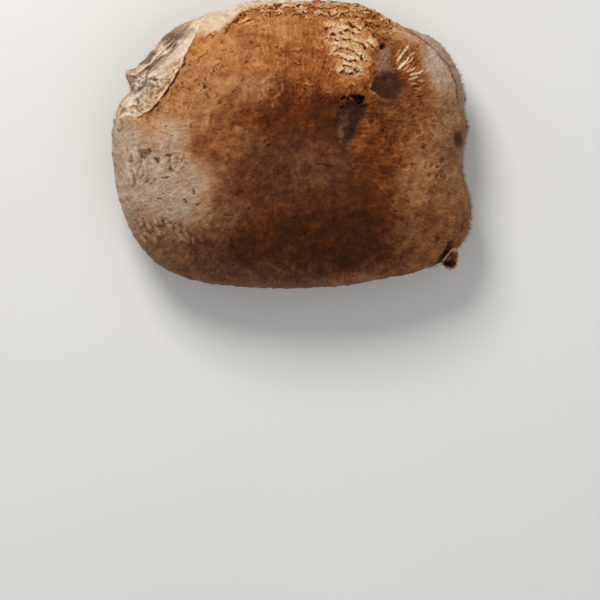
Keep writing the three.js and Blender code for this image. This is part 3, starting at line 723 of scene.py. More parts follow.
def add_top_margin(skin):
    """The upper margin, cracked along the rim and pale where the skin has gone. The splits under its
    flakes are painted dark as shadow.
    """
    turned = np.degrees(skin.angle)
    moved_u, moved_v = curly(skin, 81, 1.5)
    inner = 0.85 + 0.035 * Noise(83)(skin.angle * 7, 0 * skin.angle) + 0.02 * (moved_v - skin.v)
    top = between(*TOP_MARGIN, turned)
    where = top * smooth(0, 0.05, skin.share - inner)
    height, pale, crack_and_shade = flakes(moved_u, moved_v, 84)
    skin.raise_by(where * (1.0 * height - 0.15))
    patchy = smooth(-0.6, 0.1, Noise(86)(skin.u / 5, skin.v / 5))
    skin.paint(where, tone=0.53, gold=1.0)
    skin.paint(0.9 * where * pale * patchy, tone=0.93, gold=0.6)
    rim = smooth(0.965, 0.99, skin.share + 0.01 * (moved_u - skin.u)) * smooth(44, 60, turned)
    skin.paint(0.8 * rim * (1 - smooth(120, 130, turned)) * patchy, tone=0.97, gold=0.4)
    # Painted shadow under the flakes' free edges
    skin.paint(0.9 * where * crack_and_shade, tone=0.14, gold=0.9, dirt=0.3)
    left_of_top = between(*LEFT_OF_TOP, turned)
    bare_from = 0.95 - 0.1 * smooth(106, 124, turned) + 0.02 * (moved_v - skin.v)
    cream = left_of_top * smooth(0, 0.03, skin.share - bare_from)
    skin.paint(0.9 * cream, tone=0.9, gold=0.3)
    edge = bell(skin.share - bare_from, 0.008) * left_of_top
    skin.raise_by(0.35 * cream - 0.3 * edge)
    skin.paint(0.7 * edge * np.clip(0.5 + (moved_u - skin.u), 0, 1), tone=0.25, gold=0.8)


def add_torn_shoulder(skin):
    """The upper left, where the skin is torn off and the flesh under it is streaked and grey."""
    x, y = skin.x, skin.y
    wobble = 1.1 * layered(x / 4.0, y / 4.0, 31, 4)
    distance, side, _ = distance_to_line(x + wobble, y + wobble, TORN_EDGE)
    outside = np.where((x < -30) & (y > 2), -distance * side, -20.0)
    gone = smooth(-0.2, 0.3, outside)
    along = x * math.cos(RIM_HEADING) + y * math.sin(RIM_HEADING)
    across = -x * math.sin(RIM_HEADING) + y * math.cos(RIM_HEADING)
    streaks = Noise(91)(along / 12, across / 1.5) + 0.6 * Noise(92)(along / 5, across / 0.8)
    rough = layered(x / 2.2, y / 2.2, 93, 3)
    pits = smooth(0.4, 0.9, rough)
    skin.raise_by(gone * (-TEAR_DEPTH + 0.3 * streaks + 0.15 * rough - 0.25 * pits))
    skin.paint(gone, tone=0.93 + 0.06 * streaks + 0.03 * rough, gold=0.18, grey=0.05)
    band = skin.area(*GRIMY_BAND)
    patch = skin.area(*GRIMY_PATCH)
    grime = band * smooth(-0.4, 0.3, streaks) + 0.8 * patch * smooth(-0.3, 0.5, rough + 0.6 * streaks)
    skin.paint(0.85 * gone * grime, grey=1.0, tone=0.4)
    lines = smooth(0.35, 0.8, Noise(98)(along / 7, across / 0.7)) * np.maximum(band, patch)
    skin.raise_by(-0.25 * gone * lines)
    skin.paint(0.7 * gone * lines, grey=0.9, tone=0.25)
    skin.paint(0.5 * gone * pits, dirt=0.6)
    skin.paint(0.5 * gone * smooth(0.98, 0.995, skin.share), tone=0.6, gold=1.0)

    edge_here = between((10, 14), (31, 36), y)
    band_width = 4.4 + 1.6 * Noise(96)(x / 3, y / 3)
    flayed = gone * edge_here * (1 - smooth(-0.5, 0.8, outside - band_width))
    curls = layered(x / 1.7, y / 1.7, 97, 2) + 0.6 * streaks
    skin.raise_by(flayed * (0.55 + 0.5 * curls))
    skin.paint(flayed * smooth(-0.5, 0.1, 0.4 - curls), tone=0.8, gold=0.4, grey=0)
    skin.paint(0.8 * flayed * smooth(0.1, 0.7, curls), tone=0.92, gold=0.2)
    skin.paint(0.6 * flayed * smooth(0.1, 0.6, -curls), tone=0.48, gold=0.7)
    uneven = np.clip(0.6 + 0.7 * Noise(94)(x / 2.6, y / 2.6), 0, 1) * smooth(8, 14, y)
    curl = bell(outside - 0.5, 0.55) * uneven * (1 - smooth(40, 46, y))
    crack_and_shade = bell(outside + 0.55, 0.45) * uneven * edge_here
    # The torn edge: a raised curled lip, pale flesh with a painted highlight, and a sunk split beside it,
    # painted dark, partly as the lip's shadow
    skin.raise_by(CURL_RISE * curl - 0.7 * crack_and_shade)
    skin.paint(0.9 * curl, tone=0.95, gold=0.2, grey=0)
    skin.paint(0.9 * crack_and_shade, dirt=0.75, tone=0.15)


def add_fold(skin, line, wobble, width, height):
    """A sharp fold along a line: pale on its crest, and shaded on the side towards the crown."""
    across, side = spindle(skin.x + wobble, skin.y + 0.6 * wobble, line, width)
    crest = bell(across, 1)
    shade = bell(across - 1.5, 0.9) * (side > 0)
    skin.raise_by(height * (crest - 0.5 * shade))
    skin.paint(0.4 * shade, tone=0.34)
    skin.paint(0.4 * crest, tone=0.84)


def add_left_ridges(skin):
    """Ridges and pits on the left margin, and folds at the lower left."""
    x, y, u, v = skin.x, skin.y, skin.u, skin.v
    where = skin.area(*RIDGED_MARGIN)
    bent = u / 1.9 + 0.5 * Noise(107)(u / 4, v / 4)
    ridges = Noise(101)(bent, v / 3.6) + 0.4 * Noise(102)(u / 0.9, v / 2)
    skin.raise_by(where * 0.6 * ridges)
    skin.paint(0.6 * where * smooth(-0.1, 0.6, ridges), tone=0.86)
    skin.paint(0.45 * where * smooth(0.2, 0.7, -ridges), tone=0.52)
    ribs_here = skin.area(*RIBBED_MARGIN)
    ribs = combed(u, v, 2.1, 8, 103, 9) + 0.3 * Noise(104)(u / 1.2, v / 1.2)
    skin.raise_by(ribs_here * 0.35 * ribs)
    skin.paint(0.6 * ribs_here, tone=0.46 + 0.08 * ribs)
    wobble = 0.4 * Noise(108)(x / 2.2, y / 2.2) + 0.15 * Noise(109)(x / 0.8, y / 0.8)
    for lines, waver, width, height in FOLDS:
        for line in lines:
            add_fold(skin, line, waver * wobble, width, height)
    lumps = skin.area(*LUMPY_SKIN)
    skin.raise_by(0.35 * lumps * layered(u / 2.6, v / 2.6, 105, 2))
    across, _ = spindle(x + 1.6 * wobble, y + wobble, LEFT_PIT, 1.7)
    pit = (1 - smooth(0.3, 1.1, across)) * np.clip(0.6 + 0.8 * layered(x / 1.3, y / 1.3, 106, 2), 0, 1)
    skin.raise_by(-LEFT_PIT_DEPTH * pit)
    skin.paint(0.8 * pit, dirt=0.4, grey=0.8, tone=0.3)


def add_gouge(skin):
    """The dark slot, and the long shallow gouge that runs down from it."""
    x, y = skin.x, skin.y
    wobble = 0.5 * Noise(111)(x / 2.4, y / 2.4) + 0.25 * Noise(113)(x / 0.9, y / 0.9)
    rough = layered(x / 2.2, y / 2.2, 112, 3)
    inside = depth_inside(x + wobble, y + wobble, GOUGE, 2)
    scoop = smooth(-0.3, 0.7, inside)
    skin.raise_by(-GOUGE_DEPTH * smooth(-0.4, 2.0, inside) + scoop * 0.22 * rough)
    skin.paint(0.95 * scoop, tone=0.22 + 0.05 * rough, gold=0.6, grey=0.45)
    light = skin.area(*LIGHT_IN_GOUGE) * scoop
    skin.paint(0.85 * light, tone=0.41 + 0.08 * rough, gold=0.7, grey=0.42)
    # Painted shadow along the right side of the gouge
    for spot in SHADOW_IN_GOUGE:
        skin.paint(0.8 * skin.area(*spot) * scoop, tone=0.16, grey=0.3)
    border = bell(inside - 0.1, 0.5) * np.clip(0.5 + 0.9 * rough, 0, 1)
    skin.paint(0.75 * border, tone=0.14)
    slot = smooth(-0.2, 0.25, depth_inside(x + 0.5 * wobble, y + 0.5 * wobble, SLOT))
    for px, py, wide, high in SLOT_CRUMBS:
        crumb = ellipse(x + 1.5 * wobble, y + 1.5 * wobble, (px, py), (wide, high), 0.3, 0.6)
        slot = np.maximum(slot, 0.7 * crumb)
    skin.raise_by(-SLOT_DEPTH * slot)
    skin.paint(slot, dirt=1)


def add_bruise(skin):
    """A dark soft bruise, with a greyish streak above it and a pale border below it."""
    x, y = skin.x, skin.y
    wobble = 0.7 * Noise(121)(x / 4, y / 4) + 0.4 * Noise(124)(x / 1.2, y / 1.2)
    along, across = (x + y) / 5.5, (x - y) / 1.1
    strands = Noise(123)(across, along) + 0.5 * Noise(125)(across / 0.6, 1.6 * along)
    tail = smooth(-0.5, 1.2, depth_inside(x + wobble + 0.3 * strands, y, BRUISE_TAIL, 3))
    skin.raise_by(0.16 * tail * strands)
    skin.paint(0.8 * tail, tone=0.56 + 0.1 * strands, grey=0.5, gold=0.15)
    inside = depth_inside(x + wobble, y + 0.7 * wobble + 0.3 * strands, BRUISE, 3)
    softness = 0.7 + 1.6 * smooth(-5, 5, (x - 36.5) + 0.6 * (y - 22))
    spot = smooth(-0.6, 1.3, inside / softness)
    mottle = layered(x / 2.8, y / 2.8, 122, 3)
    skin.raise_by(-BRUISE_DEPTH * spot + 0.07 * spot * strands)
    skin.paint(0.93 * spot, tone=0.24 + 0.03 * mottle + 0.03 * strands, gold=0.35, grey=0.4)
    border = bell(inside + 0.1, 0.5) * (1 - smooth(-3, 2, (x - 35) + 0.7 * (y - 20)))
    skin.raise_by(0.25 * border)
    skin.paint(0.6 * border * np.clip(0.6 + 0.5 * strands, 0, 1), tone=0.74, gold=0.1, grey=0.2)
    hole = skin.area(*HOLE_ABOVE_BRUISE)
    skin.raise_by(-HOLE_DEPTH * hole)
    skin.paint(0.85 * hole, tone=0.1, dirt=0.5)


def add_lip_crease(skin):
    """The second lip outside the margin at the upper right, with a thin line painted dark as shadow along
    the fold inside it.
    """
    distance, side, _ = distance_to_line(skin.x, skin.y, LIP_CREASE)
    here = skin.area(*SECOND_LIP)
    crease_and_shadow = bell(distance, 0.5) * here
    outside = smooth(0, 1.0, distance * side) * here
    skin.raise_by(-LIP_STEP * crease_and_shadow - LIP_STEP * outside)
    # Painted shadow along the fold inside the lip
    skin.paint(0.6 * crease_and_shadow, tone=0.4, dirt=0.35)
    skin.paint(0.7 * outside, tone=0.68, grey=0.35)


def add_flap_and_blister(skin):
    """The groove behind the torn flap at the lower right, and the small blister at the left."""
    groove = line_mask(skin.x, skin.y, FLAP_FOLD, 1.5)
    skin.raise_by(-FLAP_GROOVE_DEPTH * groove)
    skin.paint(0.85 * groove, dirt=0.8)
    inner = skin.area(*BLISTER_TOP)
    ring = skin.area(*BLISTER_FOOT) - inner
    skin.raise_by(BLISTER_RISE * inner - 0.35 * ring)
    skin.paint(0.6 * inner, tone=0.9)
    skin.paint(0.7 * ring, dirt=0.5)


def add_round_scar(skin):
    """A faint round scar near the crown, with a thin raised border."""
    away = np.hypot(skin.x - ROUND_SCAR[0], skin.y - ROUND_SCAR[1])
    away = away + 0.4 * Noise(146)(skin.x / 3, skin.y / 3)
    border = bell(away - SCAR_RADIUS, 0.45)
    uneven = np.clip(0.5 + 0.8 * Noise(147)(skin.x / 4, skin.y / 4), 0, 1)
    skin.raise_by(SCAR_RISE * border * uneven)
    skin.masks["tone"] += 0.24 * border * uneven - 0.03 * (away < SCAR_RADIUS)


def add_marks(skin):
    """Dark strokes, pits and specks."""
    x, y = skin.x, skin.y
    for index, stroke in enumerate(STROKES):
        wobble = Noise(130 + index)(x / 1.3, y / 1.3)
        line = stroke_points(*stroke)
        across, _ = spindle(x + 0.35 * wobble, y - 0.35 * wobble, line, STROKE_WIDTH)
        uneven = 1 + 0.5 * Noise(180 + index)(x / 1.6, y / 1.6)
        mark = 1 - smooth(0.2, 1, across / uneven)
        skin.raise_by(-STROKE_DEPTH * mark)
        skin.paint(0.75 * mark, dirt=0.95)
    for px, py, radius in PITS:
        pit = skin.area((px, py), (radius, 0.85 * radius), 0.6, 0.7)
        border = skin.area((px, py - 0.3 * radius), (1.7 * radius, 1.4 * radius), 0.6, 0.5) - pit
        skin.raise_by(0.2 * border - SMALL_PIT_DEPTH * pit)
        skin.paint(0.3 * pit, tone=0.2)
        skin.masks["tone"] += 0.05 * border
    random = np.random.default_rng(7)
    for _ in range(SPECKS):
        angle = random.uniform(0, TURN)
        reach = math.sqrt(random.uniform(0, 0.86))
        px = reach * math.cos(angle) * CAP_HALF_WIDTH
        py = reach * math.sin(angle) * CAP_HALF_DEPTH
        heading = math.degrees(angle) + random.uniform(-60, 60)
        points = stroke_points(px, py, random.uniform(0.3, 1.3) ** 2, heading, random.uniform(-90, 90))
        mark = line_mask(x, y, points, random.uniform(0.32, 0.5)) * random.uniform(0.2, 0.8)
        skin.raise_by(-SPECK_DEPTH * mark)
        skin.paint(mark, dirt=0.9)
    skin.paint(0.75 * skin.area(*SPOT_ON_MARGIN), tone=0.25, grey=0.5)
    pores_here = skin.area(*PORES)
    pores = smooth(0.25, 0.7, layered(x / 1.1, y / 1.1, 141, 2))
    skin.raise_by(-0.25 * pores * pores_here)
    skin.paint(0.5 * pores * pores_here, tone=0.3)


def cap_surface(share, angle, x, y):
    """The height of the relief, in millimetres, and the masks of the skin's colour."""
    skin = Skin(share, angle, x, y)
    for add_feature in (
        add_ground, add_tufts, add_cracked_scales, add_streak_scales, add_top_margin, add_left_ridges,
        add_torn_shoulder, add_lip_crease, add_flap_and_blister, add_round_scar, add_bruise,
        add_gouge, add_marks,
    ):
        add_feature(skin)
    return skin.height, skin.masks


# Meshes


def add_object(name, data):
    piece = bpy.data.objects.new(name, data)
    bpy.context.scene.collection.objects.link(piece)
    return piece


def make_mesh(name, points, faces, material, masks=None, vectors=None):
    """A mesh piece from points in the cap's plan in millimetres, with its masks as attributes."""
    placed = np.array(points, float)
    placed[:, 0] -= PLAN_MIDDLE[0]
    placed[:, 1] -= PLAN_MIDDLE[1]
    mesh = bpy.data.meshes.new(name)
    mesh.from_pydata((placed * MM).tolist(), [], faces)
    for mask, values in (masks or {}).items():
        layer = mesh.attributes.new(mask, "FLOAT", "POINT")
        layer.data.foreach_set("value", np.asarray(values, np.float32))
    for vector, values in (vectors or {}).items():
        layer = mesh.attributes.new(vector, "FLOAT_VECTOR", "POINT")
        layer.data.foreach_set("vector", np.asarray(values, np.float32).ravel())
    mesh.polygons.foreach_set("use_smooth", np.ones(len(mesh.polygons), bool))
    mesh.materials.append(material)
    mesh.update()
    return add_object(name, mesh)


def circle(radius, angle, z):
    """Points round the cap's middle, as rows of x, y and z."""
    return np.stack([radius * np.cos(angle), radius * np.sin(angle), z], axis=1)


def band(here, there):
    """The faces between two rings, given by the indices of their points."""
    return np.stack([here, there, np.roll(there, -1), np.roll(here, -1)], axis=1).tolist()


def tube(rings, around):
    """The faces of a tube through some rings, whose last ring joins its first."""
    faces = []
    for ring in range(rings):
        here = ring * around + np.arange(around)
        there = (ring + 1) % rings * around + np.arange(around)
        faces.extend(band(here, there))
    return faces


def pulled_round_grid():
    """A square grid of points as rings: each point's share of the radius and its angle. The rings
    are equally far apart over the skin."""
    side = np.arange(-GRID_HALF, GRID_HALF + 1)
    a, b = (values.ravel().astype(float) for values in np.meshgrid(side, side))
    ring = np.maximum(np.abs(a), np.abs(b))
    safe = np.maximum(ring, 1)
    quarter = math.pi / 4
    angle = np.select(
        [a == ring, b == ring, -a == ring],
        [quarter * b / safe, 2 * quarter - quarter * a / safe, 4 * quarter - quarter * b / safe],
        6 * quarter + quarter * a / safe,
    )
    length = ring / GRID_HALF * SKIN_LENGTHS[-1]
    share = np.where(ring == GRID_HALF, 1, np.interp(length, SKIN_LENGTHS, SKIN_SHARES))
    return share, angle


def grid_faces():
    width = 2 * GRID_HALF + 1
    corner = (np.arange(width - 1)[:, None] * width + np.arange(width - 1)).ravel()
    return np.stack([corner, corner + 1, corner + width + 1, corner + width], axis=1).tolist()


def grid_rim():
    """The indices of the grid's outer points, anticlockwise from the middle of its right side."""
    share, angle = pulled_round_grid()
    outer = np.flatnonzero(share == 1)
    return outer[np.argsort(angle[outer] % TURN)]


def normals_of(points, faces):
    """Each point's mean face normal."""
    quads = np.array(faces)
    diagonal_a = points[quads[:, 2]] - points[quads[:, 0]]
    diagonal_b = points[quads[:, 3]] - points[quads[:, 1]]
    facing = np.cross(diagonal_a, diagonal_b)
    total = np.zeros_like(points)
    for corner in range(4):
        np.add.at(total, quads[:, corner], facing)
    return total / np.maximum(np.linalg.norm(total, axis=1), 1e-9)[:, None]


def ragged(angle, seed, width):
    """Noise round the rim, with one bump to each width in millimetres."""
    return Noise(seed)(np.cos(angle) * MEAN_RADIUS / width + 90, np.sin(angle) * MEAN_RADIUS / width)


# The margin's section: inset from the rim, and height. Its lip is ragged.
MARGIN_SECTION = [
    (0.0, 16.0), (0.02, 15.4), (0.18, 14.6), (0.55, 13.8), (1.1, 13.0), (1.8, 12.35), (2.5, 12.05),
    (3.0, 12.2), (3.3, 12.8), (3.5, 14.0), (3.9, 16.2), (4.7, 18.8), (5.7, 21.0),
]
UNDER_SHARES = [0.86, 0.72, 0.55, 0.36, 0.18]
SKIN_RINGS = 4


def cap_rings(rim_points, rim_angles):
    """The rings under the rim: down round the lip, and in over the gills."""
    rings = []
    outer = np.hypot(rim_points[:, 0], rim_points[:, 1])
    lip_torn = 0.9 * ragged(rim_angles, 151, 2.2) + 0.7 * ragged(rim_angles, 152, 6)
    lip_nicks = 1.2 * smooth(0.35, 0.8, ragged(rim_angles, 153, 1.6))
    rim_z = rim_points[:, 2] - EDGE_Z
    for inset, z in MARGIN_SECTION[1:]:
        lowness = smooth(EDGE_Z, LIP_Z, np.full(rim_angles.shape, z))
        radius = outer - inset * (1 - 0.1 * lip_torn)
        height = z + rim_z * smooth(22, 18, z) + lowness * (0.7 * lip_torn + lip_nicks)
        rings.append(circle(radius, rim_angles, height))
    inner = smoothed_radius(rim_angles)
    for share in UNDER_SHARES:
        radius = inner * share
        height = np.full(rim_angles.shape, under_height(share))
        rings.append(circle(radius, rim_angles, height))
    return rings


# The skin's fibres are drawn by noise in which the cap's rim is a circle of this radius, and one
# fibre takes this many millimetres outwards.
COMB_RADIUS = 95
COMB_LENGTH = 1.7


def skin_surface(share, angle, faces):
    """Points on the cap's top, their normals and masks, and where its fibres are drawn from."""
    radius = spoke_radius(angle, share)
    radius = radius + smooth(0.9, 1, share) * 0.35 * ragged(angle, 161, 2.4)
    x = radius * np.cos(angle)
    y = radius * np.sin(angle)
    base = np.stack([x, y, top_height(share, angle, x, y)], axis=1)
    normals = normals_of(base, faces)
    height, masks = cap_surface(share, angle, x, y)
    points = base + normals * (height * (1 - 0.5 * smooth(0.985, 1, share)))[:, None]
    outwards = radius * skin_length_ratio(share)
    curl = 1.1 * Noise(191)(x / 3.2, y / 3.2) / np.maximum(outwards, 12)
    comb = circle(COMB_RADIUS, angle + curl, outwards / COMB_LENGTH)
    masks["away"] = (0.3 + 0.7 * smooth(22, 50, outwards)) * (1 - 0.45 * smooth(-25, -45, x - y))
    return points, normals, masks, comb


# Two parts of the top are laid over it as finer meshes. Each is centred at an angle round the cap,
# reaches some way to either side, and runs between two lengths over the skin from the crown.
FINE_SKIN = {
    "scaled_skin": dict(middle=0.93, half=1.05, inner=14.0, outer=SKIN_LENGTHS[-1] - 0.8),
    "torn_skin": dict(middle=2.95, half=0.8, inner=36.0, outer=SKIN_LENGTHS[-1] - 0.8),
}
FINE_STEP = 0.27
FINE_BORDER = 1.5
LAID_UNDER = 0.5
LAID_OVER = 0.03


def inside_fine_skin(share, angle, middle, half, inner, outer):
    """How far inside the border of a finer part each point lies, over the skin."""
    turned = (angle - middle + math.pi) % TURN - math.pi
    sideways = (half - np.abs(turned)) * share * MEAN_RADIUS
    length = np.interp(share, SKIN_SHARES, SKIN_LENGTHS)
    return np.minimum(sideways, np.minimum(length - inner, outer - length))


def build_fine_skin(name, material):
    """A finer part of the top, whose border dips under the coarser skin round it."""
    part = FINE_SKIN[name]
    rows = int((part["outer"] - part["inner"]) / FINE_STEP)
    columns = int(1.7 * part["half"] * MEAN_RADIUS / FINE_STEP)
    lengths = np.linspace(part["inner"], part["outer"], rows)
    share = np.repeat(np.interp(lengths, SKIN_LENGTHS, SKIN_SHARES), columns)
    angle = np.tile(part["middle"] + np.linspace(-part["half"], part["half"], columns), rows)
    corner = (np.arange(rows - 1)[:, None] * columns + np.arange(columns - 1)).ravel()
    faces = np.stack([corner, corner + columns, corner + columns + 1, corner + 1], axis=1).tolist()
    points, normals, masks, comb = skin_surface(share, angle, faces)
    dip = LAID_UNDER * (1 - smooth(0, FINE_BORDER, inside_fine_skin(share, angle, **part)))
    points = points - normals * (dip - LAID_OVER)[:, None]
    return make_mesh(name, points, faces, material, masks, {"comb": comb})


def under_masks(top_masks, angle, rings):
    """The masks of the rings under the rim: the skin's colour fades to that of bare flesh."""
    count = len(angle)
    around, level = np.tile(angle * 40, rings), np.arange(rings * count) / 97
    tone = 0.9 + 0.05 * layered(around, level, 171, 2)
    fade = np.repeat(np.arange(1, SKIN_RINGS + 1) / SKIN_RINGS, count)
    outside = SKIN_RINGS * count
    tone[:outside] = mix(np.tile(top_masks["tone"], SKIN_RINGS), tone[:outside], fade)
    plain = np.zeros(rings * count)
    dirt = 0.12 * smooth(0.2, 0.8, np.tile(ragged(angle, 172, 3), rings))
    return {"tone": tone, "gold": plain, "grey": plain, "away": plain + 1, "dirt": dirt}


def build_cap(material):
    share, angle = pulled_round_grid()
    faces = grid_faces()
    points, normals, masks, comb = skin_surface(share, angle, faces)
    for part in FINE_SKIN.values():
        inside = inside_fine_skin(share, angle, **part)
        points = points - normals * (LAID_UNDER * smooth(FINE_BORDER, 2 * FINE_BORDER, inside))[:, None]

    rim = grid_rim()
    rings = cap_rings(points[rim], angle[rim])
    count = len(rim)
    previous = rim
    for ring in rings:
        start = len(points)
        points = np.concatenate([points, ring])
        current = np.arange(start, start + count)
        faces.extend(band(previous, current))
        previous = current
    faces.append(previous.tolist()[::-1])

    under = under_masks({name: values[rim] for name, values in masks.items()}, angle[rim], len(rings))
    masks = {name: np.concatenate([values, under[name]]) for name, values in masks.items()}
    comb = np.concatenate([comb, np.tile(comb[rim], (len(rings), 1))])
    return make_mesh("cap_skin", points, faces, material, masks, {"comb": comb})


FLAP_THICKNESS = 0.7


def build_flap(material):
    """The torn flap: a cupped scrap of skin with a pale rolled border that carries a painted highlight,
    and dark painted shade in its folds.
    """
    border = smooth_loop(np.array(FLAP_BORDER), 12)
    shares = np.linspace(0.03, 1, 18)
    around = np.arange(len(border))
    rows = [np.array(FLAP_MIDDLE) + share * border * (1 + 0.04 * share * np.sin(around * 0.9))[:, None]
            for share in shares]
    plan = np.concatenate(rows)
    x, y = plan[:, 0], plan[:, 1]
    share = np.repeat(shares, len(border))
    base = top_height(share_at(x, y), np.arctan2(y, x), x, y)
    crumple = layered(x / 1.8, y / 1.8, 221, 3)
    top = base + 0.3 + 1.1 * share**2.5 + 0.3 * crumple * share - 0.5 * smooth(0.9, 1, share)
    upper = np.stack([x, y, top], axis=1)
    lower = np.stack([x, y, np.minimum(top, base + 0.9) - FLAP_THICKNESS], axis=1)
    points = np.concatenate([upper, lower])
    count = len(border)
    order = [*range(len(shares)), *range(2 * len(shares) - 1, len(shares) - 1, -1)]
    faces = []
    for here, there in zip(order, order[1:]):
        a, b = here * count + around, there * count + around
        faces.extend(band(a, b))
    faces.append(around.tolist())
    faces.append((len(shares) * count + around).tolist()[::-1])
    wide_crease, thin_crease = (ellipse(x, y, *spot) for spot in FLAP_CREASES)
    crease_shade = np.maximum(wide_crease, 0.7 * thin_crease)
    # The rolled border is pale, partly as a painted highlight
    tone = mix(0.36 + 0.1 * crumple, 0.76, smooth(0.55, 0.85, share + 0.15 * crumple))
    plain = np.zeros(len(x))
    masks = {"tone": tone, "gold": plain + 0.5, "grey": plain + 0.1, "away": plain + 1}
    # Painted shade in the flap's folds
    masks["dirt"] = 0.85 * crease_shade
    masks = {name: np.tile(values, 2) for name, values in masks.items()}
    return make_mesh("torn_flap", points, faces, material, masks, {"comb": 1.5 * points})


FIBRES = 1300
FIBRE_WIDTH = 0.07
FIBRE_CORNERS = (0.5, 2.6, 4.7)
FUZZY_SHARE = 0.75


def fibre_on_rim(angle, z, reach, length, random, points, faces, masks):
    """One loose fibre on the margin: three-sided, bent, and drawn out to a point."""
    heading = angle + random.uniform(-0.7, 0.7)
    fall = random.uniform(-0.7, 0.25)
    bend = random.uniform(-0.6, 0.6)
    first = len(points)
    for share, thickness in ((0.0, 1.0), (0.55, 0.7)):
        turned = heading + bend * share
        x = reach * math.cos(angle) + share * length * math.cos(turned)
        y = reach * math.sin(angle) + share * length * math.sin(turned)
        for corner in FIBRE_CORNERS:
            side = thickness * FIBRE_WIDTH * math.cos(corner)
            rise = thickness * FIBRE_WIDTH * math.sin(corner)
            height = z + share * fall + rise
            points.append((x - side * math.sin(turned), y + side * math.cos(turned), height))
    turned = heading + bend
    tip_x = reach * math.cos(angle) + length * math.cos(turned)
    tip_y = reach * math.sin(angle) + length * math.sin(turned)
    points.append((tip_x, tip_y, z + 1.4 * fall))
    for k in range(3):
        after = (k + 1) % 3
        faces.append((first + k, first + after, first + 3 + after, first + 3 + k))
        faces.append((first + 3 + k, first + 3 + after, first + 6))
    masks["tone"].extend([random.uniform(0.4, 0.75)] * (len(points) - first))


def build_fibres(material):
    """Loose fibres round the margin, thickest on the right side."""
    random = np.random.default_rng(31)
    points, faces, masks = [], [], {"tone": []}
    for _ in range(FIBRES):
        fuzzy = random.uniform() < FUZZY_SHARE
        angle = random.normal(-0.1, 0.3) if fuzzy else random.uniform(-math.pi, math.pi)
        length = random.uniform(0.5, 2.2) if fuzzy else random.uniform(0.3, 0.9)
        z = random.uniform(LIP_Z + 1.4, EDGE_Z + 1.5)
        inset = 1.3 * ((EDGE_Z - z) / (EDGE_Z - LIP_Z)) ** 2 + 0.3
        reach = float(outer_radius(np.array([angle]))[0]) - inset
        z = z + float(rim_wave(angle))
        fibre_on_rim(angle, z, reach, length, random, points, faces, masks)
    count = len(points)
    for name, value in (("gold", 0.2), ("grey", 0.0), ("dirt", 0.0), ("away", 1.0)):
        masks[name] = np.full(count, value)
    return make_mesh("margin_fibres", points, faces, material, masks, {"comb": np.array(points)})


# Gills. Between each two full ones are three short ones, which start this share of the way out.

FULL_GILLS = 168
GILL_STARTS = (0.0, 0.72, 0.36, 0.66)
GILL_LAYER_GAP = 0.5
GILL_LAYER = 1.2
GILL_THICKNESS = 0.34
GILL_EDGE = [(0, 24.5), (0.04, 21.6), (0.16, 18.6), (0.5, 16.7), (0.86, 15.5), (0.97, 15.9), (1, 17.2)]


def gill_roof(radius, angle):
    return under_height(radius / smoothed_radius(angle)) - GILL_LAYER_GAP


def gill_blade(angle, start_share, random, points, faces, masks):
    """One thin wavy blade: its two sides and its free edge."""
    stations = 9 if start_share > 0.6 else 15 if start_share > 0.3 else 22
    end = float(smoothed_radius(np.array([angle]))[0]) * GILLS_END - 0.2
    start = mix(GILLS_START_RADIUS + 0.1, end, start_share)
    along = np.linspace(0, 1, stations)
    radius = mix(start, end, along)
    full_share = (radius - GILLS_START_RADIUS) / (end - GILLS_START_RADIUS)
    edges = np.array(GILL_EDGE)
    low = np.interp(mix(full_share, along, 0.5), edges[:, 0], edges[:, 1])
    if start_share > 0:
        low = low + mix(3.2, 0.4, smooth(0, 0.5, along)) + 0.5
    low = low + 0.12 * np.sin(radius * 1.3 + random.uniform(0, 9)) + random.uniform(-0.25, 0.25)
    roof = gill_roof(radius, np.full(stations, angle)) - 0.4
    low = np.minimum(low, roof - 0.6)
    phase = random.uniform(0, TURN)
    bow = random.uniform(0.1, 0.32) * np.sin(radius * random.uniform(0.1, 0.22) + phase)
    lean = random.uniform(-0.35, 0.35) + 0.18 * np.sin(radius * 0.45 + phase)
    first = len(points)
    tangent = np.array([-math.sin(angle), math.cos(angle)])
    outward = np.array([math.cos(angle), math.sin(angle)])
    for i in range(stations):
        for height, half, shift in (
            (roof[i], 0.5 * GILL_THICKNESS, 0.0),
            (low[i] + 0.5, 0.36 * GILL_THICKNESS, lean[i]),
            (low[i], 0.14 * GILL_THICKNESS, 1.1 * lean[i]),
        ):
            for side in (-1, 1):
                spot = outward * radius[i] + tangent * (bow[i] + shift + side * half)
                points.append((spot[0], spot[1], height))
                masks["edge"].append(0.0 if height == roof[i] else 0.75 if half > 0.1 else 1.0)
                masks["own"].append(phase / TURN)
    for i in range(stations - 1):
        a = first + 6 * i
        b = a + 6
        faces.extend([
            (a, a + 2, b + 2, b), (a + 2, a + 4, b + 4, b + 2), (a + 4, a + 5, b + 5, b + 4),
            (a + 5, a + 3, b + 3, b + 5), (a + 3, a + 1, b + 1, b + 3),
        ])
    for a in (first, first + 6 * (stations - 1)):
        faces.append((a, a + 1, a + 3, a + 5, a + 4, a + 2))


def build_gills(material):
    random = np.random.default_rng(23)
    points, faces = [], []
    masks = {"edge": [], "own": []}
    step = TURN / FULL_GILLS
    for i in range(FULL_GILLS):
        for k, start_share in enumerate(GILL_STARTS):
            wander = random.uniform(-0.12, 0.12)
            shifted = start_share + (random.uniform(-0.08, 0.08) if start_share else 0)
            turned = (i + (k + wander) / len(GILL_STARTS)) * step
            gill_blade(turned, shifted, random, points, faces, masks)
    return make_mesh("gill_blades", points, faces, material, masks)


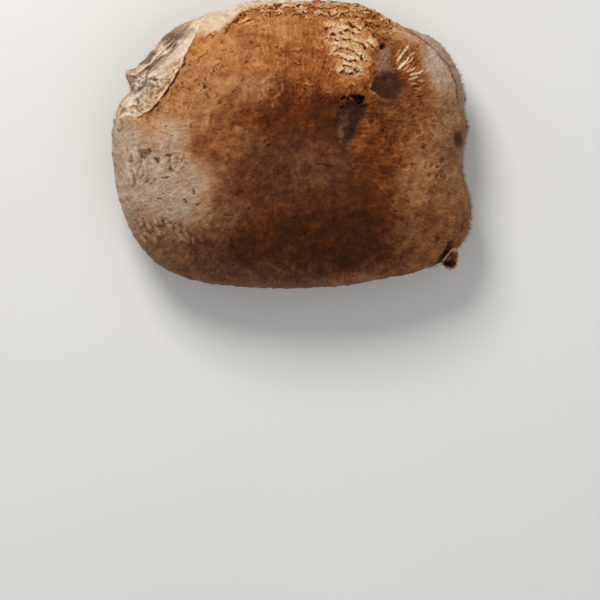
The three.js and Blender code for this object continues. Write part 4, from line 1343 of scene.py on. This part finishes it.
def build_gill_bed(material):
    """The thin layer that the gills hang from."""
    around = 2 * FULL_GILLS
    shares = (0.0, 0.12, 0.3, 0.5, 0.7, 0.85, 0.95, 1.0)
    angle = np.arange(around) / around * TURN
    end = smoothed_radius(angle) * GILLS_END
    rings = []
    for drop, order in ((0, shares), (GILL_LAYER, shares[::-1])):
        for share in order:
            radius = mix(GILLS_START_RADIUS, end, share)
            z = gill_roof(radius, angle) - drop + 0.1 * ragged(angle, 181, 1.5) * (drop > 0)
            rings.append(circle(radius, angle, z))
    points = np.concatenate(rings)
    masks = {"edge": np.zeros(len(points)), "own": np.full(len(points), 0.5)}
    return make_mesh("gill_bed", points, tube(len(rings), around), material, masks)


# Stem

STEM_SIDES = 300
STEM_TOP_Z = UNDER_CENTRE_Z - 0.3
STEM_PROFILE = [
    (0.0, STEM_FOOT_RADIUS - 0.9), (0.5, STEM_FOOT_RADIUS - 0.25), (1.1, STEM_FOOT_RADIUS),
    (5.0, STEM_FOOT_RADIUS - 0.3), (RING_Z - 2.2, STEM_WAIST_RADIUS + 0.6),
    (RING_Z + 2.2, STEM_WAIST_RADIUS + 0.5), (RING_Z + 6, STEM_WAIST_RADIUS),
    (STEM_TOP_Z - 5, STEM_WAIST_RADIUS + 0.4), (STEM_TOP_Z, STEM_TOP_RADIUS),
]


def stem_swell(angle, z):
    return 0.35 * (np.sin(3 * angle + 0.16 * z) + 0.6 * np.sin(7 * angle))


def build_stem(material):
    around, levels, foot_rings = STEM_SIDES, 96, 22
    angle = np.tile(np.arange(around) / around * TURN, levels)
    z = np.repeat(np.linspace(0, STEM_TOP_Z, levels), around)
    profile = np.array(STEM_PROFILE)
    fibres = Noise(201)(angle * 26, z / 9) + 0.6 * Noise(202)(angle * 60, z / 5)
    fibres = mix(fibres, np.roll(fibres, 1), smooth(TURN - 0.3, TURN, angle))
    radius = np.interp(z, profile[:, 0], profile[:, 1]) + stem_swell(angle, z)
    radius = radius + 0.16 * fibres * smooth(0.2, 1.5, z) + 0.12 * Noise(203)(angle * 9, z / 4)
    wall = circle(radius, angle, z)
    faces = []
    for k in range(levels - 1):
        here = k * around + np.arange(around)
        there = here + around
        faces.extend(np.stack([here, np.roll(here, -1), np.roll(there, -1), there], 1).tolist())
    foot_share = np.repeat(np.linspace(1, 0.02, foot_rings + 1)[1:], around)
    foot_angle = np.tile(angle[:around], foot_rings)
    foot_radius = np.tile(radius[:around], foot_rings) * foot_share
    fx = foot_radius * np.cos(foot_angle)
    fy = foot_radius * np.sin(foot_angle)
    dents = 0.12 * np.clip(layered(fx / 2.2, fy / 2.2, 205, 3), 0, 1) * smooth(1, 0.9, foot_share)
    foot = np.stack([fx, fy, dents], axis=1)
    start = len(wall)
    previous = np.arange(around)
    for k in range(foot_rings):
        current = start + k * around + np.arange(around)
        faces.extend(band(previous, current))
        previous = current
    faces.append(previous.tolist()[::-1])
    top = np.arange((levels - 1) * around, levels * around)
    faces.append(top.tolist())
    points = np.concatenate([wall, foot])
    wall_dirt = 0.25 * smooth(0.2, 0.9, Noise(206)(angle * 7, z / 3))
    wall_dirt = wall_dirt + 0.35 * smooth(0.25, 0.9, -fibres)
    foot_dirt = 0.25 * smooth(0.1, 0.8, layered(fx / 3, fy / 3, 207, 3))
    foot_dirt = foot_dirt + 0.5 * smooth(0.9, 1.0, foot_share)
    masks = {
        "fibre": np.concatenate([fibres, 0.4 * layered(fx / 1.2, fy / 1.2, 208, 2)]),
        "dirt": np.clip(np.concatenate([wall_dirt, foot_dirt]), 0, 1),
        "cut": np.concatenate([1 - smooth(0, 1.2, z), np.ones(len(foot))]),
    }
    return make_mesh("stem_stalk", points, faces, material, masks)


def build_ring(material):
    """The torn skirt of the veil round the stem: a thin ragged frill."""
    around, steps = STEM_SIDES, 12
    angle = np.arange(around) / around * TURN
    torn = ragged(angle, 211, 5) + 0.6 * ragged(angle, 212, 1.8)
    frill = 0.5 * ragged(angle, 213, 4)
    rows = []
    for side in (0, 1):
        for k in range(steps):
            share = k / (steps - 1)
            share = share if side == 0 else 1 - share
            reach = (RING_REACH + 0.2 - 0.9 * np.clip(torn, -0.3, 1.4)) * share
            radius = STEM_WAIST_RADIUS - 0.2 + stem_swell(angle, RING_Z) + reach
            drop = 1.7 * share**1.6 + (0.3 + frill) * share**2
            thick = 0.22 * (1 - share) + 0.1
            z = RING_Z + 1.1 - drop - (0 if side == 0 else thick)
            rows.append(circle(radius, angle, z))
    points = np.concatenate(rows)
    fibre = np.tile(ragged(angle, 214, 1.2), len(rows))
    masks = {"fibre": fibre, "dirt": np.clip(0.3 * fibre, 0, 1), "cut": np.zeros(len(points))}
    return make_mesh("stem_ring", points, tube(len(rows), around), material, masks)


# Materials


def linear(red, green, blue):
    """A colour given as it looks on screen, as the shader's own linear colour."""
    def channel(value):
        return ((value + 0.055) / 1.055) ** 2.4 if value > 0.04045 else value / 12.92

    return channel(red), channel(green), channel(blue), 1


class Shading:
    """A material. Its methods add a node each, and give what the node puts out."""

    def __init__(self, name):
        self.material = bpy.data.materials.new(name)
        self.material.use_nodes = True
        self.nodes = self.material.node_tree.nodes
        self.nodes.clear()
        output = self.nodes.new("ShaderNodeOutputMaterial")
        self.shader = self.nodes.new("ShaderNodeBsdfPrincipled")
        self.feed(output.inputs["Surface"], self.shader.outputs["BSDF"])

    def feed(self, slot, value):
        """Gives a slot a fixed value, or what another node puts out."""
        if isinstance(value, (int, float, tuple)):
            slot.default_value = value
        else:
            self.material.node_tree.links.new(value, slot)

    def feed_all(self, node, values):
        for name, value in values.items():
            self.feed(node.inputs[name], value)

    def attribute(self, name, output="Fac"):
        node = self.nodes.new("ShaderNodeAttribute")
        node.attribute_name = name
        return node.outputs[output]

    def arithmetic(self, operation, *values, clamp=False):
        node = self.nodes.new("ShaderNodeMath")
        node.operation = operation
        node.use_clamp = clamp
        for slot, value in zip(node.inputs, values):
            self.feed(slot, value)
        return node.outputs[0]

    def add_scaled(self, total, value, amount, clamp=False):
        return self.arithmetic("MULTIPLY_ADD", value, amount, total, clamp=clamp)

    def ramp(self, value, stops):
        """A colour that a value picks out. Each stop is a place and a colour as on screen."""
        node = self.nodes.new("ShaderNodeValToRGB")
        elements = node.color_ramp.elements
        while len(elements) < len(stops):
            elements.new(0.5)
        for element, (place, *colour) in zip(elements, stops):
            element.position = place
            element.color = linear(*colour)
        self.feed(node.inputs["Fac"], value)
        return node.outputs["Color"]

    def blend(self, share, low, high):
        """A colour between two others."""
        node = self.nodes.new("ShaderNodeMix")
        node.data_type = "RGBA"
        for name, kind, value in (("Factor", "VALUE", share), ("A", "RGBA", low), ("B", "RGBA", high)):
            self.feed(next(s for s in node.inputs if s.name == name and s.type == kind), value)
        return next(s for s in node.outputs if s.type == "RGBA")

    def noise(self, scale, detail, coordinates=None):
        node = self.nodes.new("ShaderNodeTexNoise")
        if coordinates is None:
            coordinates = self.nodes.new("ShaderNodeTexCoord").outputs["Object"]
        self.feed_all(node, {
            "Scale": scale, "Detail": detail, "Roughness": NOISE_ROUGHNESS, "Vector": coordinates,
        })
        return node.outputs["Fac"]

    def bump(self, height, strength, distance):
        node = self.nodes.new("ShaderNodeBump")
        self.feed_all(node, {"Strength": strength, "Distance": distance, "Height": height})
        self.feed(self.shader.inputs["Normal"], node.outputs["Normal"])


# Colours by tone, from dark to light: the tone, and red, green and blue as on screen
SKIN_TONES = [
    (0.0, 0.08, 0.045, 0.025), (0.16, 0.2, 0.11, 0.06), (0.3, 0.31, 0.175, 0.1),
    (0.38, 0.39, 0.25, 0.165), (0.5, 0.49, 0.35, 0.25), (0.63, 0.63, 0.49, 0.385),
    (0.76, 0.7, 0.6, 0.515), (0.88, 0.8, 0.72, 0.64), (1.0, 0.93, 0.88, 0.82),
]
GOLD_TONES = [
    (0.0, 0.1, 0.04, 0.01), (0.16, 0.2, 0.09, 0.02), (0.3, 0.32, 0.145, 0.035),
    (0.38, 0.41, 0.195, 0.06), (0.5, 0.59, 0.35, 0.165), (0.63, 0.74, 0.5, 0.29),
    (0.76, 0.8, 0.62, 0.43), (0.88, 0.87, 0.75, 0.6), (1.0, 0.94, 0.87, 0.78),
]
GREY_TONES = [
    (0.0, 0.06, 0.05, 0.04), (0.34, 0.25, 0.19, 0.13), (0.6, 0.5, 0.43, 0.37), (1.0, 0.8, 0.76, 0.72),
]
GILL_TONES = [
    (0.15, 0.14, 0.08, 0.055), (0.5, 0.27, 0.17, 0.12), (0.8, 0.4, 0.27, 0.2), (1, 0.52, 0.39, 0.31),
]
STEM_TONES = [
    (0.2, 0.6, 0.47, 0.34), (0.45, 0.78, 0.69, 0.56), (0.7, 0.88, 0.81, 0.7), (1, 0.94, 0.9, 0.82),
]
FLOOR_TONES = [(0, 0.9, 0.9, 0.89), (1, 0.93, 0.93, 0.925)]
# The colour of dark marks and specks, and of painted shadow in splits and folds
MARK_AND_SHADE_COLOUR = linear(0.055, 0.035, 0.03)
STEM_DIRT = linear(0.38, 0.27, 0.18)
NOISE_ROUGHNESS = 0.55


def cap_material():
    cap = Shading("cap_skin")
    fibre = cap.noise(1.0, 3, cap.attribute("comb", "Vector"))
    grain = cap.noise(1100, 4)
    blotch = cap.noise(230, 4)
    centred = cap.arithmetic("SUBTRACT", fibre, 0.5)
    fibre = cap.arithmetic("MULTIPLY", centred, cap.attribute("away"))
    tone = cap.add_scaled(cap.attribute("tone"), fibre, 0.2)
    for texture, amount in ((grain, 0.18), (blotch, 0.34)):
        tone = cap.add_scaled(tone, cap.arithmetic("SUBTRACT", texture, 0.5), amount)
    tone = cap.arithmetic("ADD", tone, 0.0, clamp=True)
    colour = cap.blend(cap.attribute("gold"), cap.ramp(tone, SKIN_TONES), cap.ramp(tone, GOLD_TONES))
    colour = cap.blend(cap.attribute("grey"), colour, cap.ramp(tone, GREY_TONES))
    colour = cap.blend(cap.attribute("dirt"), colour, MARK_AND_SHADE_COLOUR)
    cap.feed_all(cap.shader, {
        "Base Color": colour,
        "Roughness": cap.add_scaled(cap.add_scaled(0.45, tone, 0.3), grain, 0.12),
        "Specular IOR Level": 0.08,
        "Subsurface Weight": 0.06,
        "Subsurface Radius": (0.004, 0.0018, 0.0009),
        "Subsurface Scale": 0.6,
    })
    cap.bump(cap.add_scaled(grain, fibre, 1.3), 0.6, 0.0005)
    return cap.material


def gill_material():
    gills = Shading("gills")
    grain = gills.noise(700, 3)
    blotch = gills.noise(90, 2)
    tone = gills.add_scaled(gills.arithmetic("MULTIPLY", blotch, 0.5), gills.attribute("edge"), 0.3)
    tone = gills.add_scaled(tone, grain, 0.3)
    tone = gills.add_scaled(tone, gills.attribute("own"), 0.2, clamp=True)
    gills.feed_all(gills.shader, {
        "Base Color": gills.ramp(tone, GILL_TONES),
        "Roughness": 0.8,
        "Specular IOR Level": 0.3,
        "Subsurface Weight": 0.05,
        "Subsurface Radius": (0.002, 0.001, 0.0006),
    })
    gills.bump(grain, 0.3, 0.0002)
    return gills.material


def stem_material():
    stem = Shading("stem_flesh")
    grain = stem.noise(600, 4)
    blotch = stem.noise(110, 3)
    tone = stem.add_scaled(blotch, stem.attribute("fibre"), 0.12)
    tone = stem.add_scaled(tone, grain, 0.25)
    tone = stem.add_scaled(tone, stem.attribute("cut"), 0.08, clamp=True)
    stem.feed_all(stem.shader, {
        "Base Color": stem.blend(stem.attribute("dirt"), stem.ramp(tone, STEM_TONES), STEM_DIRT),
        "Roughness": 0.72,
        "Specular IOR Level": 0.3,
        "Subsurface Weight": 0.15,
        "Subsurface Radius": (0.004, 0.0025, 0.0015),
        "Subsurface Scale": 0.6,
    })
    stem.bump(grain, 0.4, 0.0003)
    return stem.material


# Floor, light and camera, in metres

FLOOR_Z = -0.00005
FLOOR_HALF = 3.0


def build_floor():
    look = Shading("floor")
    look.feed_all(look.shader, {
        "Base Color": look.ramp(look.noise(6, 2), FLOOR_TONES), "Roughness": 0.9,
    })
    mesh = bpy.data.meshes.new("floor")
    corners = [(-1, -1), (1, -1), (1, 1), (-1, 1)]
    mesh.from_pydata([(x * FLOOR_HALF, y * FLOOR_HALF, FLOOR_Z) for x, y in corners], [], [(0, 1, 2, 3)])
    mesh.materials.append(look.material)
    add_object("floor", mesh)


def area_light(name, place, aim, size, power, colour):
    light = bpy.data.lights.new(name, "AREA")
    light.shape = "DISK"
    light.size = size
    light.energy = power
    light.color = colour
    lamp = add_object(name, light)
    lamp.location = place
    lamp.rotation_euler = (Vector(aim) - Vector(place)).to_track_quat("-Z", "Y").to_euler()


def build_light():
    area_light("key", place=(-0.28, 0.62, 0.62), aim=(0, 0, 0.03), size=0.42, power=6.6,
               colour=(1.0, 0.97, 0.93))
    area_light("fill", place=(0.5, -0.5, 0.9), aim=(0, 0, 0.02), size=0.9, power=1.8,
               colour=(0.96, 0.98, 1.0))
    world = bpy.data.worlds.new("studio")
    world.use_nodes = True
    background = world.node_tree.nodes["Background"]
    background.inputs["Color"].default_value = (1, 0.985, 0.965, 1)
    background.inputs["Strength"].default_value = 0.36
    bpy.context.scene.world = world


def build_camera():
    camera = bpy.data.cameras.new("camera")
    camera.sensor_width = 36
    plan_width = MM_PER_PIXEL * PHOTO_PIXELS * MM
    camera.lens = camera.sensor_width * (CAMERA_HEIGHT - EDGE_Z * MM) / plan_width
    holder = add_object("camera", camera)
    x, y = (np.array(PHOTO_MIDDLE) - PLAN_MIDDLE) * MM
    holder.location = (x, y, CAMERA_HEIGHT)
    bpy.context.scene.camera = holder


def place(piece, node, slot):
    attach(piece, "root")
    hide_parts(node)


skin = cap_material()
dark = gill_material()
flesh = stem_material()
place(build_cap(skin), "cap", "cap_skin")
for part_name in FINE_SKIN:
    place(build_fine_skin(part_name, skin), "cap", "cap_skin")
place(build_flap(skin), "cap", "cap_skin")
place(build_fibres(skin), "cap", "cap_skin")
place(build_gills(dark), "gills", "gills")
place(build_gill_bed(dark), "gills", "gills")
place(build_stem(flesh), "stem", "stem_flesh")
place(build_ring(flesh), "stem", "stem_flesh")
build_floor()
build_light()
build_camera()

scene = bpy.context.scene
scene.view_settings.view_transform = "Standard"
